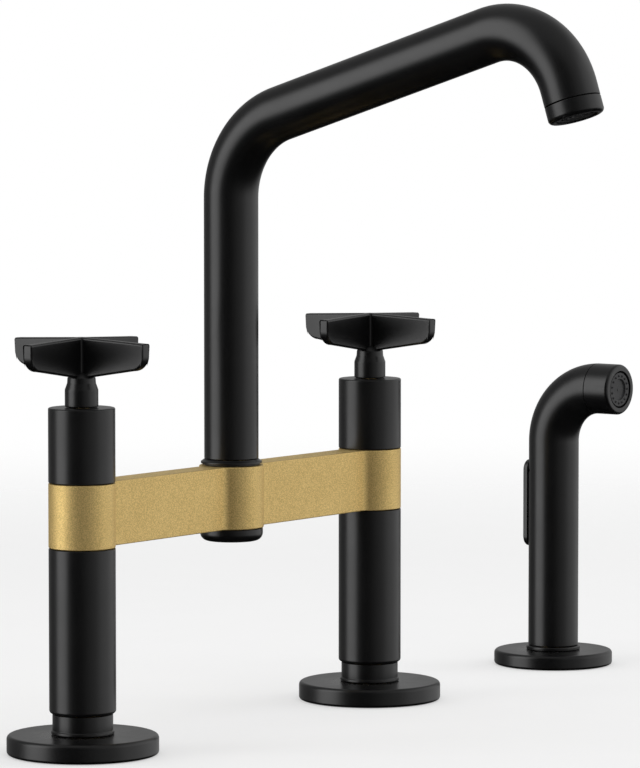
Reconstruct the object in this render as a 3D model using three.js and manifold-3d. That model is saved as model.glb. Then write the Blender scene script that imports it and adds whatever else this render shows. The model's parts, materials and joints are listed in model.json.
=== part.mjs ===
// Bridge kitchen faucet: two valve posts joined by a brass bridge, a turning spout in the middle
// and a side spray that stands by itself in the deck.
// Millimetres, Z up. While it is built, z = 0 is the deck, the spout turns about the Z axis,
// X runs along the bridge (left post at -X) and the spout and the spray point to -Y.

import * as THREE from 'three';
import { mergeVertices } from 'three/addons/utils/BufferGeometryUtils.js';
import Module from 'manifold-3d';

const wasm = await Module();
wasm.setup();

// ---------------------------------------------------------------- driving dimensions

const CLEAR = 0.3;            // play between neighbouring pieces
const GUARD = 2.0;            // how far a cutter stands out of the piece it cuts
const SIDES = 28;             // facets of an outer round
const FINE_SIDES = 12;        // facets of an inner round

// Layout on the deck
const CENTRES = 203.2;        // left post to right post, the usual eight inches
const SPRAY_PITCH = 148.2;    // right post to side spray

// Deck flanges
const FLANGE_R = 32.1;
const FLANGE_H = 8.2;
const FLANGE_TOP_ROUND = 2.5;
const FLANGE_FOOT_ROUND = 1.3;
const SPRAY_FLANGE_R = 28.2;
const SPRAY_FLANGE_H = 6.9;
const GASKET_T = 1.5;
const GASKET_RIM = 8.0;       // flange metal left outside its gasket

// Valve posts
const POST_R = 14.1;          // sleeves and bridge rings share it
const SLEEVE_WALL = 2.8;
const NECK_R = 12.8;
const NECK_H = 8.4;           // height of the neck between flange and sleeve
const SHANK_R = 9.0;
const INLET_R = 4.5;
const INLET_SOCKET_R = 6.4;
const INLET_SOCKET_H = 9.0;
const BONNET_TOP = 146.0;
const BONNET_CAP = 5.0;       // thickness of the bonnet's top wall

// Bridge
const BAND_FOOT = 87.1;
const BAND_H = 27.2;
const BAND_EDGE = 0.4;        // broken edge of the casting
const BAR_T = 13.0;
const BAR_FILLET = 4.5;       // bar face into ring
const RING_WALL = 3.8;
const WATERWAY_R = 3.6;

// Cartridge, from the chamber floor upwards
const CHAMBER_FLOOR = 82.0;
const CHAMBER_R = 8.2;
const SPIGOT_ABOVE_BAND = 9.7; // threaded end of the valve body above the bridge
const CARTRIDGE_WALL = 1.3;
const DISC_T = 3.0;
const DISC_PORT_R = 1.9;
const DISC_PORT_OFFSET = 3.2;
const SEAL_T = 1.4;
const CARTRIDGE_LIP_T = 3.0;
const CARTRIDGE_NECK_H = 6.5;
const NUT_LIP_T = 2.7;
const SPINDLE_R = 4.0;
const SPLINE_R = 3.4;
const SPLINE_H = 10.0;        // length of spindle held by the handle
const ORING_SECTION = 0.5;

// Cross handle
const HANDLE_REACH = 34.8;    // axis to the end of an arm
const HANDLE_H = 29.55;       // bonnet's top to the top of the arms
const HANDLE_TOP_DROP = 1.5;  // top edge falls this much towards the tips
const ARM_WAIST = 3.4;        // thinnest place of an arm
const ARM_TIP = 4.9;          // thickness at the end of an arm
const ARM_WAIST_AT = 15.0;    // radius of the thinnest place
const ARM_CLEARANCE = 11.95;  // bonnet's top to the arms' lower edge, continued to the axis
const ARM_FOOT_SLOPE = 0.16;
const ARM_CORNER = 7.0;       // rounding below the tip
const ARM_TOP_CORNER = 1.2;   // rounding above the tip
const ARM_EDGE = 0.7;         // broken long edges
const VALLEY_R = 1.2;         // rounding where two arms meet
const STEM_R = 6.95;
const STEM_TOP_R = 6.4;
const STEM_SHOULDER_H = 7.5;  // bonnet's top to the stem's shoulder
const SCREW_R = 1.6;
const SCREW_RISE = 4.4;       // bonnet's top to the grub screw

// Spout
const SPOUT_R = 11.85;
const SPOUT_WALL = 1.6;
const SPOUT_RISE_TOP = 230.5; // where the first bend begins
const SPOUT_BEND_R = 38.8;
const SPOUT_ARM_RISE = 17.2;  // degrees above level
const SPOUT_ARM = 113.7;      // straight length of the arm
const SPOUT_TIP_BEND_R = 32.4;
const SPOUT_TIP_TURN = 89.2;  // degrees
const SPOUT_TIP = 13.5;       // straight length after the last bend
const OUTLET_RING_L = 7.3;
const OUTLET_ROUND = 1.8;     // rounding of the outlet's rim
const OUTLET_SPIGOT_L = 6.0;
const OUTLET_RECESS = 1.3;
const BASE_RING_R = 13.35;
const BASE_RING_H = 2.8;
const GLIDE_T = 0.6;
const STEM_BORE_R = 6.0;
const SPOUT_STEM_R = 9.0;
const SPOUT_STEM_IN_TUBE = 13.0;
const CAP_R = 13.7;
const CAP_H = 5.5;
const RETAINER_T = 2.5;
const RETAINER_SEAT = 3.7;    // depth of the counterbore in the bridge
const SCREW_THREAD_R = 2.5;
const SCREW_HEAD_R = 4.8;
const SCREW_HEAD_T = 2.3;
const SCREW_REACH = 3.6;      // thread held by the stem

// Side spray
const SPRAY_R = 11.9;
const SPRAY_BORE_R = 7.6;
const SPRAY_RISE_TOP = 107.0;
const SPRAY_BEND_R = 26.2;
const SPRAY_STRAIGHT = 1.0;   // between the bend and the nozzle ring
const SPRAY_NOZZLE_L = 10.6;
const NOZZLE_SPIGOT_L = 2.2;
const NOZZLE_WELL = 5.0;      // depth of the well that takes the spray face
const GUIDE_R = 12.8;
const GUIDE_RIM_H = 1.7;
const GUIDE_WALL = 1.3;
const CONNECTOR_SPIGOT_L = 13.0;
const CONNECTOR_FOOT = 3.0;
const HOSE_R = 4.0;
const FACE_R = 8.1;
const FACE_DISH_R = 4.8;
const FACE_DISH = 0.8;
const FACE_JETS = 15;
const FACE_JET_CIRCLE_R = 6.4;
const FACE_JET_R = 0.4;

// Spray trigger, on the back of the spray body
const PAD_FOOT = 56.0;
const PAD_TOP = 97.5;
const PAD_W = 11.0;
const PAD_OUT = 14.3;         // outer face from the spray axis
const PAD_IN = 11.8;          // inner face from the spray axis
const POCKET_FLOOR = 10.1;
const PIN_R = 0.8;
const PIN_Y = 8.8;
const PIN_Z = 93.0;
const PIN_L = 12.0;
const LUG_W = 3.6;
const LUG_R = 1.75;
const PLUNGER_Z = 64.0;
const PLUNGER_R = 1.5;
const PLUNGER_HEAD_R = 2.6;
const PLUNGER_HEAD_T = 1.2;
const PLUNGER_SINK = 8.3;     // floor of the recess that takes the plunger head

// ---------------------------------------------------------------- sizes worked out from them

const BAND_TOP = BAND_FOOT + BAND_H;
const BAND_MID = BAND_FOOT + BAND_H / 2;
const RING_BORE_R = POST_R - RING_WALL;
const SLEEVE_FOOT = FLANGE_H + 2 * CLEAR + NECK_H;
const SLEEVE_TOP = BAND_FOOT - CLEAR;
const SLEEVE_BORE_R = POST_R - SLEEVE_WALL;
const TRUNK_R = SLEEVE_BORE_R - CLEAR;
const SPIGOT_R = RING_BORE_R - CLEAR;
const SPIGOT_TOP = BAND_TOP + SPIGOT_ABOVE_BAND;
const BONNET_FOOT = BAND_TOP + CLEAR;
const BONNET_BORE_R = POST_R - SLEEVE_WALL;
const CARTRIDGE_R = CHAMBER_R - CLEAR;
const POCKET_R = CARTRIDGE_R - CARTRIDGE_WALL;
const DISC_R = POCKET_R - CLEAR;
const CARTRIDGE_FOOT = CHAMBER_FLOOR + CLEAR;
const FIXED_DISC_FOOT = CARTRIDGE_FOOT + SEAL_T + CLEAR;
const MOVING_DISC_FOOT = FIXED_DISC_FOOT + DISC_T + CLEAR;
const SPINDLE_FOOT = MOVING_DISC_FOOT + DISC_T + CLEAR;
const POCKET_TOP = BAND_MID + WATERWAY_R + 2.5;
const CARTRIDGE_LIP_FOOT = SPIGOT_TOP + CLEAR;
const CARTRIDGE_LIP_TOP = CARTRIDGE_LIP_FOOT + CARTRIDGE_LIP_T;
const NUT_FOOT = BAND_TOP + 2 * CLEAR + 1;
const NUT_R = BONNET_BORE_R - CLEAR;
const NUT_LIP_FOOT = CARTRIDGE_LIP_TOP + CLEAR;
const CARTRIDGE_NECK_R = SPINDLE_R + CLEAR + 2.0;
const HANDLE_FOOT = BONNET_TOP + CLEAR;
const HANDLE_TOP = BONNET_TOP + HANDLE_H;
const ARM_FOOT = BONNET_TOP + ARM_CLEARANCE;
const STEM_SHOULDER = BONNET_TOP + STEM_SHOULDER_H;
const SCREW_H = BONNET_TOP + SCREW_RISE;
const SPINDLE_TOP = HANDLE_FOOT + SPLINE_H - CLEAR;
const GROOVE_DEPTH = 2 * ORING_SECTION - 0.1;
const SPINDLE_ORING_Z = POCKET_TOP + 10;
const CENTRE_BORE_R = SPOUT_STEM_R + CLEAR;
const BASE_RING_FOOT = BAND_TOP + 2 * CLEAR + GLIDE_T;
const SPOUT_FOOT = BASE_RING_FOOT + BASE_RING_H + CLEAR;
const SPOUT_BORE_R = SPOUT_R - SPOUT_WALL;
const SPOUT_STEM_FOOT = BAND_FOOT + RETAINER_SEAT;
const RETAINER_TOP = SPOUT_STEM_FOOT - CLEAR;
const RETAINER_FOOT = RETAINER_TOP - RETAINER_T;
const SPOUT_SCREW_TOP = SPOUT_STEM_FOOT + SCREW_REACH;
const COUNTERBORE_R = SPOUT_STEM_R + 2.6;
const SPRAY_X = CENTRES / 2 + SPRAY_PITCH;
const SPRAY_FOOT = SPRAY_FLANGE_H + 2 * CLEAR + GUIDE_RIM_H;
const CONNECTOR_R = SPRAY_BORE_R - CLEAR;
const GUIDE_BORE_R = CONNECTOR_R + GUIDE_WALL + CLEAR;
const GUIDE_SPIGOT_R = GUIDE_BORE_R + GUIDE_WALL;

// ---------------------------------------------------------------- finishes

const FINISHES = {
  black: { color: 0x1b1b1c, roughness: 0.42, metalness: 0.2 },
  brass: { color: 0xb8975a, roughness: 0.45, metalness: 1.0 },
  rawBrass: { color: 0xa98a52, roughness: 0.6, metalness: 0.9 },
  rubber: { color: 0x141414, roughness: 0.9, metalness: 0.0 },
  plastic: { color: 0x2b2c2e, roughness: 0.6, metalness: 0.0 },
  white: { color: 0xe8e6e0, roughness: 0.3, metalness: 0.0 },
  steel: { color: 0xa8abad, roughness: 0.35, metalness: 1.0 },
};

// ---------------------------------------------------------------- geometry helpers

/** Turns a geometry into a closed solid: welded corners, no empty facets, facets facing out. */
function toSolid(geometry) {
  const bare = geometry.clone();
  bare.deleteAttribute('normal');
  bare.deleteAttribute('uv');
  const welded = mergeVertices(bare, 1e-4);
  const at = welded.attributes.position;
  const corner = new THREE.Vector3();
  const facets = [];
  let volume = 0;
  for (let i = 0; i < welded.index.count; i += 3) {
    const [a, b, c] = [0, 1, 2].map((k) => welded.index.getX(i + k));
    if (a === b || b === c || c === a) {
      continue;
    }
    facets.push([a, b, c]);
    const [p, q, r] = [a, b, c].map((k) => corner.fromBufferAttribute(at, k).clone());
    volume += p.dot(q.cross(r));
  }
  const outward = volume < 0 ? facets.map(([a, b, c]) => [a, c, b]) : facets;
  return new wasm.Manifold(new wasm.Mesh({
    numProp: 3,
    vertProperties: Float32Array.from(at.array),
    triVerts: Uint32Array.from(outward.flat()),
  }));
}

/** Turns a solid back into an indexed geometry. */
function toGeometry(solid) {
  const mesh = solid.getMesh();
  const geometry = new THREE.BufferGeometry();
  geometry.setAttribute('position', new THREE.BufferAttribute(Float32Array.from(mesh.vertProperties), 3));
  geometry.setIndex(Array.from(mesh.triVerts));
  return geometry;
}

/** The first geometry without the others. */
function cut(whole, ...cutters) {
  const rest = cutters.reduce((solid, cutter) => solid.subtract(toSolid(cutter)), toSolid(whole));
  return toGeometry(rest);
}

/** All the geometries as one solid. */
function fuse(...geometries) {
  return toGeometry(geometries.map(toSolid).reduce((sum, solid) => sum.add(solid)));
}

/** What two geometries share. */
function common(first, second) {
  return toGeometry(toSolid(first).intersect(toSolid(second)));
}

/** Corners [x, y, radius] as points, each corner with a radius replaced by an arc of chords. */
function rounded(corners, chords = 3) {
  return corners.flatMap(([x, y, radius = 0], i) => {
    const here = new THREE.Vector2(x, y);
    if (!radius) {
      return [here];
    }
    const toBefore = new THREE.Vector2(...corners.at(i - 1)).sub(here).normalize();
    const toAfter = new THREE.Vector2(...corners[(i + 1) % corners.length]).sub(here).normalize();
    const half = Math.acos(toBefore.dot(toAfter)) / 2;
    const middle = toBefore.clone().add(toAfter).normalize();
    const centre = here.clone().addScaledVector(middle, radius / Math.sin(half));
    const start = here.clone().addScaledVector(toBefore, radius / Math.tan(half)).sub(centre);
    const end = here.clone().addScaledVector(toAfter, radius / Math.tan(half)).sub(centre);
    const turn = Math.atan2(start.cross(end), start.dot(end));
    return Array.from({ length: chords + 1 }, (_, k) => start.clone()
      .rotateAround(new THREE.Vector2(), (turn * k) / chords).add(centre));
  });
}

/** Body of revolution about Z from corners [radius, height, rounding]. */
function revolve(corners, sides = SIDES, chords = 3) {
  const points = rounded(corners, chords);
  const onAxis = points[0].x === 0;
  const profile = onAxis ? points : [...points, points[0].clone()];
  return new THREE.LatheGeometry(profile, sides).rotateX(Math.PI / 2);
}

/** Plain ring about Z. */
function ring(inner, outer, foot, top, sides = SIDES) {
  return revolve([[inner, foot], [outer, foot], [outer, top], [inner, top]], sides);
}

/** Plain rod about Z. */
function rod(radius, foot, top, sides = FINE_SIDES) {
  return revolve([[0, foot], [radius, foot], [radius, top], [0, top]], sides);
}

/** Rod along X through the height z. */
function crossRod(radius, from, to, z, sides = FINE_SIDES) {
  return rod(radius, from, to, sides).rotateY(Math.PI / 2).translate(0, 0, z);
}

/** Rod along Y through the height z. */
function depthRod(radius, from, to, z, sides = FINE_SIDES) {
  return rod(radius, from, to, sides).rotateX(-Math.PI / 2).translate(0, 0, z);
}

/** Box given by its two end corners. */
function block([x0, y0, z0], [x1, y1, z1]) {
  return new THREE.BoxGeometry(x1 - x0, y1 - y0, z1 - z0)
    .translate((x0 + x1) / 2, (y0 + y1) / 2, (z0 + z1) / 2);
}

/** Round sealing ring with a four-sided section. */
function oRing(radius, z) {
  const section = Array.from({ length: 4 }, (_, k) => {
    const turn = (k * Math.PI) / 2;
    return [radius + ORING_SECTION * Math.cos(turn), z + ORING_SECTION * Math.sin(turn)];
  });
  return revolve(section, FINE_SIDES);
}

/** Corners of a groove cut into an outer radius, for a round sealing ring at height z. */
function groove(radius, z) {
  const half = ORING_SECTION + 0.25;
  const floor = radius - GROOVE_DEPTH;
  return [[radius, z - half], [floor, z - half], [floor, z + half], [radius, z + half]];
}

/** Centreline in the plane X = 0, made of straights and bends, with its own stations. */
class Centreline extends THREE.Curve {
  constructor(out, up, heading) {
    super();
    this.stations = [{ out, up, heading }];
  }

  /** The last station. */
  get end() {
    return this.stations.at(-1);
  }

  /** Straight on. */
  straight(length) {
    const { out, up, heading } = this.end;
    this.stations.push({
      out: out + length * Math.cos(heading),
      up: up + length * Math.sin(heading),
      heading,
    });
    return this;
  }

  /** Bend downwards by an angle. */
  bend(radius, angle, steps) {
    const { out, up, heading } = this.end;
    for (let k = 1; k <= steps; k += 1) {
      const now = heading - (angle * k) / steps;
      this.stations.push({
        out: out + radius * (Math.sin(heading) - Math.sin(now)),
        up: up + radius * (Math.cos(now) - Math.cos(heading)),
        heading: now,
      });
    }
    return this;
  }

  getSpacedPoints() {
    return this.stations.map(({ out, up }) => new THREE.Vector3(0, -out, up));
  }

  computeFrenetFrames() {
    const tangents = this.stations
      .map(({ heading }) => new THREE.Vector3(0, -Math.cos(heading), Math.sin(heading)));
    const normals = tangents.map(() => new THREE.Vector3(1, 0, 0));
    const binormals = tangents.map((tangent, k) => tangent.clone().cross(normals[k]));
    return { tangents, normals, binormals };
  }

  /** Round bar swept along the centreline. */
  sweep(radius, sides) {
    const circle = Array.from({ length: sides }, (_, k) => new THREE.Vector2(radius, 0)
      .rotateAround(new THREE.Vector2(), (2 * Math.PI * k) / sides));
    return new THREE.ExtrudeGeometry(new THREE.Shape(circle), {
      steps: this.stations.length - 1,
      extrudePath: this,
      bevelEnabled: false,
    });
  }

  /** Puts a body of revolution at the end, its +Z along the way out. */
  carry(geometry) {
    const { out, up, heading } = this.end;
    return geometry.rotateX(Math.PI / 2 - heading).translate(0, -out, up);
  }
}

// ---------------------------------------------------------------- assembly helper

/** Collects named pieces. */
class Assembly {
  constructor() {
    this.group = new THREE.Group();
    this.group.name = 'bridge_kitchen_faucet';
  }

  /** Adds one piece of one finish, moved sideways. */
  add(name, finish, geometry, x = 0) {
    const closed = toGeometry(toSolid(geometry)).translate(x, 0, 0);
    closed.computeVertexNormals();
    const mesh = new THREE.Mesh(closed, new THREE.MeshStandardMaterial({ ...FINISHES[finish] }));
    mesh.name = name;
    this.group.add(mesh);
  }

  /** The group, moved so that the origin is the middle of its footprint on the deck. */
  finished() {
    const box = new THREE.Box3().setFromObject(this.group);
    const middle = box.getCenter(new THREE.Vector3());
    this.group.children.forEach((mesh) => mesh.geometry.translate(-middle.x, -middle.y, -box.min.z));
    return this.group;
  }
}

// ---------------------------------------------------------------- pieces

/** Deck flange with a recess for its gasket. */
function flange(radius, height, boreR, gasketIn) {
  const recessIn = gasketIn - CLEAR;
  const recessOut = radius - GASKET_RIM + CLEAR;
  const recess = GASKET_T + CLEAR;
  return revolve([
    [boreR, 0], [recessIn, 0], [recessIn, recess], [recessOut, recess], [recessOut, 0],
    [radius, 0, FLANGE_FOOT_ROUND], [radius, height, FLANGE_TOP_ROUND], [boreR, height],
  ], SIDES, 2);
}

/** Inner brass body of a post: shank, trunk, spigot and cartridge chamber. */
function valveBody(towardsCentre) {
  const turned = revolve([
    [INLET_SOCKET_R, 0], [SHANK_R, 0], [SHANK_R, SLEEVE_FOOT], [TRUNK_R, SLEEVE_FOOT],
    [TRUNK_R, SLEEVE_TOP], [SPIGOT_R, SLEEVE_TOP], [SPIGOT_R, SPIGOT_TOP], [CHAMBER_R, SPIGOT_TOP],
    [CHAMBER_R, CHAMBER_FLOOR], [INLET_R, CHAMBER_FLOOR], [INLET_R, INLET_SOCKET_H],
    [INLET_SOCKET_R, INLET_SOCKET_H],
  ], FINE_SIDES);
  const far = towardsCentre * (SPIGOT_R + GUARD);
  return cut(turned, crossRod(WATERWAY_R, Math.min(0, far), Math.max(0, far), BAND_MID));
}

/** Cartridge housing with outlet windows at the height of the bridge. */
function cartridge() {
  const boreR = SPINDLE_R + CLEAR;
  const turned = revolve([
    [POCKET_R, CARTRIDGE_FOOT], [CARTRIDGE_R, CARTRIDGE_FOOT], [CARTRIDGE_R, CARTRIDGE_LIP_FOOT],
    [SPIGOT_R - CLEAR, CARTRIDGE_LIP_FOOT], [SPIGOT_R - CLEAR, CARTRIDGE_LIP_TOP],
    [CARTRIDGE_NECK_R, CARTRIDGE_LIP_TOP], [CARTRIDGE_NECK_R, CARTRIDGE_LIP_TOP + CARTRIDGE_NECK_H],
    [boreR, CARTRIDGE_LIP_TOP + CARTRIDGE_NECK_H], [boreR, POCKET_TOP], [POCKET_R, POCKET_TOP],
  ], FINE_SIDES);
  const half = CARTRIDGE_R + GUARD;
  return cut(turned, crossRod(WATERWAY_R, -half, half, BAND_MID));
}

/** Ceramic disc with one port. */
function disc(foot) {
  const port = rod(DISC_PORT_R, foot - GUARD, foot + DISC_T + GUARD, 12)
    .translate(0, DISC_PORT_OFFSET, 0);
  return cut(rod(DISC_R, foot, foot + DISC_T), port);
}

/** Spindle with its drive plate, sealing groove and splined end. */
function spindle() {
  const plateTop = SPINDLE_FOOT + DISC_T;
  const turned = revolve([
    [0, SPINDLE_FOOT], [DISC_R, SPINDLE_FOOT], [DISC_R, plateTop], [SPINDLE_R, plateTop],
    ...groove(SPINDLE_R, SPINDLE_ORING_Z), [SPINDLE_R, BONNET_TOP - CLEAR],
    [SPLINE_R, BONNET_TOP - CLEAR], [SPLINE_R, SPINDLE_TOP], [0, SPINDLE_TOP],
  ], FINE_SIDES);
  const port = rod(DISC_PORT_R - 0.2, SPINDLE_FOOT - GUARD, plateTop + GUARD, 12)
    .translate(0, DISC_R - DISC_PORT_R + 1.0, 0);
  return cut(turned, port);
}

/** Half the thickness of an arm at a radius. */
function armHalf(radius) {
  const flare = Math.max(0, radius - ARM_WAIST_AT) / (HANDLE_REACH - ARM_WAIST_AT);
  return (ARM_WAIST + (ARM_TIP - ARM_WAIST) * flare ** 2) / 2;
}

/** Lower edge of an arm at a radius, rounded up towards the tip. */
function armFoot(radius) {
  const into = Math.max(0, radius - (HANDLE_REACH - ARM_CORNER));
  const lift = ARM_CORNER - Math.sqrt(Math.max(0, ARM_CORNER ** 2 - into ** 2));
  return ARM_FOOT + ARM_FOOT_SLOPE * Math.min(radius, HANDLE_REACH - ARM_CORNER) + lift;
}

/** Upper edge of an arm at a radius, rounded down at the tip. */
function armTop(radius) {
  const into = Math.max(0, radius - (HANDLE_REACH - ARM_TOP_CORNER));
  const fall = ARM_TOP_CORNER - Math.sqrt(Math.max(0, ARM_TOP_CORNER ** 2 - into ** 2));
  return HANDLE_TOP - (HANDLE_TOP_DROP * radius) / HANDLE_REACH - fall;
}

/** The four arms as one plate: the plan is extruded, then its two faces are shaped by radius. */
function armCross() {
  const radii = [0, 0.18, 0.5, 1, 1.8].map((part) => HANDLE_REACH - ARM_CORNER * part);
  const side = [...radii, ARM_WAIST_AT].map((radius) => [radius, armHalf(radius)]);
  const root = ARM_WAIST / 2;
  const valley = rounded([[root + 2 * VALLEY_R, root], [root, root, VALLEY_R],
    [root, root + 2 * VALLEY_R]]).slice(1, -1).map((point) => [point.x, point.y]);
  const quadrant = [...side, ...valley, ...side.map(([x, y]) => [y, x]).reverse()];
  const outline = [0, 1, 2, 3].flatMap((turn) => quadrant.map(([x, y]) => new THREE.Vector2(x, y)
    .rotateAround(new THREE.Vector2(), (turn * Math.PI) / 2)));
  const plate = new THREE.ExtrudeGeometry(new THREE.Shape(outline), {
    depth: 1, bevelSize: ARM_EDGE, bevelThickness: ARM_EDGE, bevelOffset: -ARM_EDGE, bevelSegments: 1,
  });
  const at = plate.attributes.position;
  for (let i = 0; i < at.count; i += 1) {
    const radius = Math.min(Math.hypot(at.getX(i), at.getY(i)), HANDLE_REACH);
    const level = at.getZ(i);
    const top = armTop(radius) + Math.min(0, level - 1 - ARM_EDGE);
    const foot = armFoot(radius) + Math.max(0, level + ARM_EDGE);
    at.setZ(i, level > 0.5 ? top : foot);
  }
  return plate;
}

/** Cross handle: four arms on a stem with a socket for the spindle and a side hole for the screw. */
function handle() {
  const inArms = ARM_FOOT + 6;
  const stem = revolve([
    [0, HANDLE_FOOT], [STEM_R, HANDLE_FOOT, 0.4], [STEM_R, STEM_SHOULDER], [STEM_TOP_R, ARM_FOOT + 2],
    [ARM_WAIST / 2 + 2.4, inArms], [0, inArms],
  ], SIDES - 4, 2);
  const socket = rod(SPLINE_R + CLEAR, HANDLE_FOOT - GUARD, SPINDLE_TOP + CLEAR);
  const screwHole = depthRod(SCREW_R + CLEAR, 0, STEM_R + GUARD, SCREW_H, 12);
  return cut(fuse(armCross(), stem), socket, screwHole);
}

/** Points of an arc, both ends included. */
function arc(x, y, radius, from, to, chords) {
  return Array.from({ length: chords + 1 }, (_, k) => new THREE.Vector2(radius, 0)
    .rotateAround(new THREE.Vector2(), from + ((to - from) * k) / chords)
    .add(new THREE.Vector2(x, y)));
}

/** Outline of the bridge in plan: three rings, two bars, rounded where they meet. */
function bridgeOutline() {
  const quarter = Math.PI / 2;
  const post = CENTRES / 2;
  const centreY = BAR_T / 2 + BAR_FILLET;
  const along = Math.sqrt((POST_R + BAR_FILLET) ** 2 - centreY ** 2);
  const meet = Math.atan2(centreY, along);
  const filletChords = 3;
  const front = [
    ...arc(-post, 0, POST_R, Math.PI, 2 * Math.PI - meet, 13),
    ...arc(along - post, -centreY, BAR_FILLET, Math.PI - meet, quarter, filletChords),
    ...arc(-along, -centreY, BAR_FILLET, quarter, meet, filletChords),
    ...arc(0, 0, POST_R, Math.PI + meet, 2 * Math.PI - meet, 10),
    ...arc(along, -centreY, BAR_FILLET, Math.PI - meet, quarter, filletChords),
    ...arc(post - along, -centreY, BAR_FILLET, quarter, meet, filletChords),
    ...arc(post, 0, POST_R, Math.PI + meet, 2 * Math.PI, 13),
  ];
  const distinct = front.filter((point, k) => k === 0 || point.distanceTo(front[k - 1]) > 1e-6);
  const back = distinct.slice(1, -1).map((point) => new THREE.Vector2(point.x, -point.y)).reverse();
  return new THREE.Shape([...distinct, ...back]);
}

/** Bridge casting with its three bores, the waterway along the bars and the retainer's seat. */
function bridge() {
  const casting = new THREE.ExtrudeGeometry(bridgeOutline(), {
    depth: BAND_H - 2 * BAND_EDGE,
    bevelSize: BAND_EDGE,
    bevelThickness: BAND_EDGE,
    bevelOffset: -BAND_EDGE,
    bevelSegments: 1,
  }).translate(0, 0, BAND_FOOT + BAND_EDGE);
  const post = CENTRES / 2;
  const bore = (radius) => rod(radius, BAND_FOOT - GUARD, BAND_TOP + GUARD);
  return cut(
    casting,
    bore(RING_BORE_R).translate(-post, 0, 0),
    bore(CENTRE_BORE_R),
    bore(RING_BORE_R).translate(post, 0, 0),
    rod(COUNTERBORE_R, BAND_FOOT - GUARD, BAND_FOOT + RETAINER_SEAT, SIDES - 4),
    crossRod(WATERWAY_R, -post, post, BAND_MID),
  );
}

/** Hollow brass stem the spout turns on, with two sealing grooves and ports for the waterway. */
function spoutStem() {
  const shoulder = SPOUT_FOOT - CLEAR;
  const top = SPOUT_FOOT + SPOUT_STEM_IN_TUBE;
  const wellFloor = BAND_MID - WATERWAY_R - 0.4;
  const turned = revolve([
    [0, SPOUT_STEM_FOOT], [SPOUT_STEM_R, SPOUT_STEM_FOOT],
    ...groove(SPOUT_STEM_R, BAND_MID - WATERWAY_R - 3),
    ...groove(SPOUT_STEM_R, BAND_MID + WATERWAY_R + 3), [SPOUT_STEM_R, shoulder],
    [SPOUT_BORE_R - CLEAR, SPOUT_FOOT], [SPOUT_BORE_R - CLEAR, top], [STEM_BORE_R, top],
    [STEM_BORE_R, wellFloor], [0, wellFloor],
  ], FINE_SIDES);
  const half = SPOUT_STEM_R + GUARD;
  const tapped = rod(SCREW_THREAD_R + CLEAR, SPOUT_STEM_FOOT - GUARD, SPOUT_SCREW_TOP + CLEAR, 12);
  return cut(turned, crossRod(WATERWAY_R - 0.2, -half, half, BAND_MID), tapped);
}

/** Screw that draws the retainer against the stem from below. */
function spoutScrew() {
  const headTop = RETAINER_FOOT - CLEAR;
  return revolve([
    [0, headTop - SCREW_HEAD_T], [SCREW_HEAD_R, headTop - SCREW_HEAD_T], [SCREW_HEAD_R, headTop],
    [SCREW_THREAD_R, headTop], [SCREW_THREAD_R, SPOUT_SCREW_TOP], [0, SPOUT_SCREW_TOP],
  ], FINE_SIDES);
}

/** Black cap that closes the middle of the bridge from below and stands in its counterbore. */
function bottomCap() {
  const top = BAND_FOOT - CLEAR;
  const wallOut = COUNTERBORE_R - CLEAR;
  const wallIn = SPOUT_STEM_R + 1.3;
  const wallTop = BAND_FOOT + RETAINER_SEAT - CLEAR;
  const floor = RETAINER_FOOT - 2 * CLEAR - SCREW_HEAD_T;
  return revolve([
    [0, top - CAP_H], [CAP_R, top - CAP_H, 3.4], [CAP_R, top], [wallOut, top], [wallOut, wallTop],
    [wallIn, wallTop], [wallIn, top - 0.8], [SCREW_HEAD_R + 0.6, top - 0.8],
    [SCREW_HEAD_R + 0.6, floor], [0, floor],
  ], SIDES - 4, 2);
}

/** Flared foot ring of the spout. */
function baseRing() {
  const top = BASE_RING_FOOT + BASE_RING_H;
  return revolve([
    [SPOUT_STEM_R + CLEAR, BASE_RING_FOOT], [BASE_RING_R - 0.6, BASE_RING_FOOT],
    [BASE_RING_R, BASE_RING_FOOT + 0.5], [BASE_RING_R - 0.1, BASE_RING_FOOT + 1.1],
    [SPOUT_R + 0.5, BASE_RING_FOOT + 1.7], [SPOUT_R, top], [SPOUT_STEM_R + CLEAR, top],
  ]);
}

/** Ring at the spout's end that holds the aerator, built along +Z from the tube's end. */
function outletRing() {
  const spigotR = SPOUT_BORE_R - CLEAR;
  return revolve([
    [spigotR - 1.0, -OUTLET_SPIGOT_L], [spigotR, -OUTLET_SPIGOT_L], [spigotR, CLEAR],
    [SPOUT_R, CLEAR], [SPOUT_R, OUTLET_RING_L, OUTLET_ROUND], [spigotR - 1.0, OUTLET_RING_L],
  ], SIDES - 4, 2);
}

/** Aerator insert with a domed, stepped screen, built along +Z from the tube's end. */
function aerator() {
  const radius = SPOUT_BORE_R - 1.0 - 2 * CLEAR;
  const face = OUTLET_RING_L - OUTLET_RECESS;
  return revolve([
    [0, -OUTLET_SPIGOT_L + 1], [radius, -OUTLET_SPIGOT_L + 1], [radius, face],
    [radius - 1.2, face], [radius - 1.2, face - 0.8], [0, face - 0.4],
  ], 16);
}

/** Guide that the spray stands in: a rim on the flange and a sleeve down through it. */
function sprayGuide() {
  const rimFoot = SPRAY_FLANGE_H + CLEAR;
  const rimTop = rimFoot + GUIDE_RIM_H;
  return revolve([
    [GUIDE_BORE_R, 0], [GUIDE_SPIGOT_R, 0], [GUIDE_SPIGOT_R, rimFoot], [GUIDE_R, rimFoot],
    [GUIDE_R, rimTop, 0.5], [GUIDE_BORE_R, rimTop],
  ], SIDES - 4, 2);
}

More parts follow.
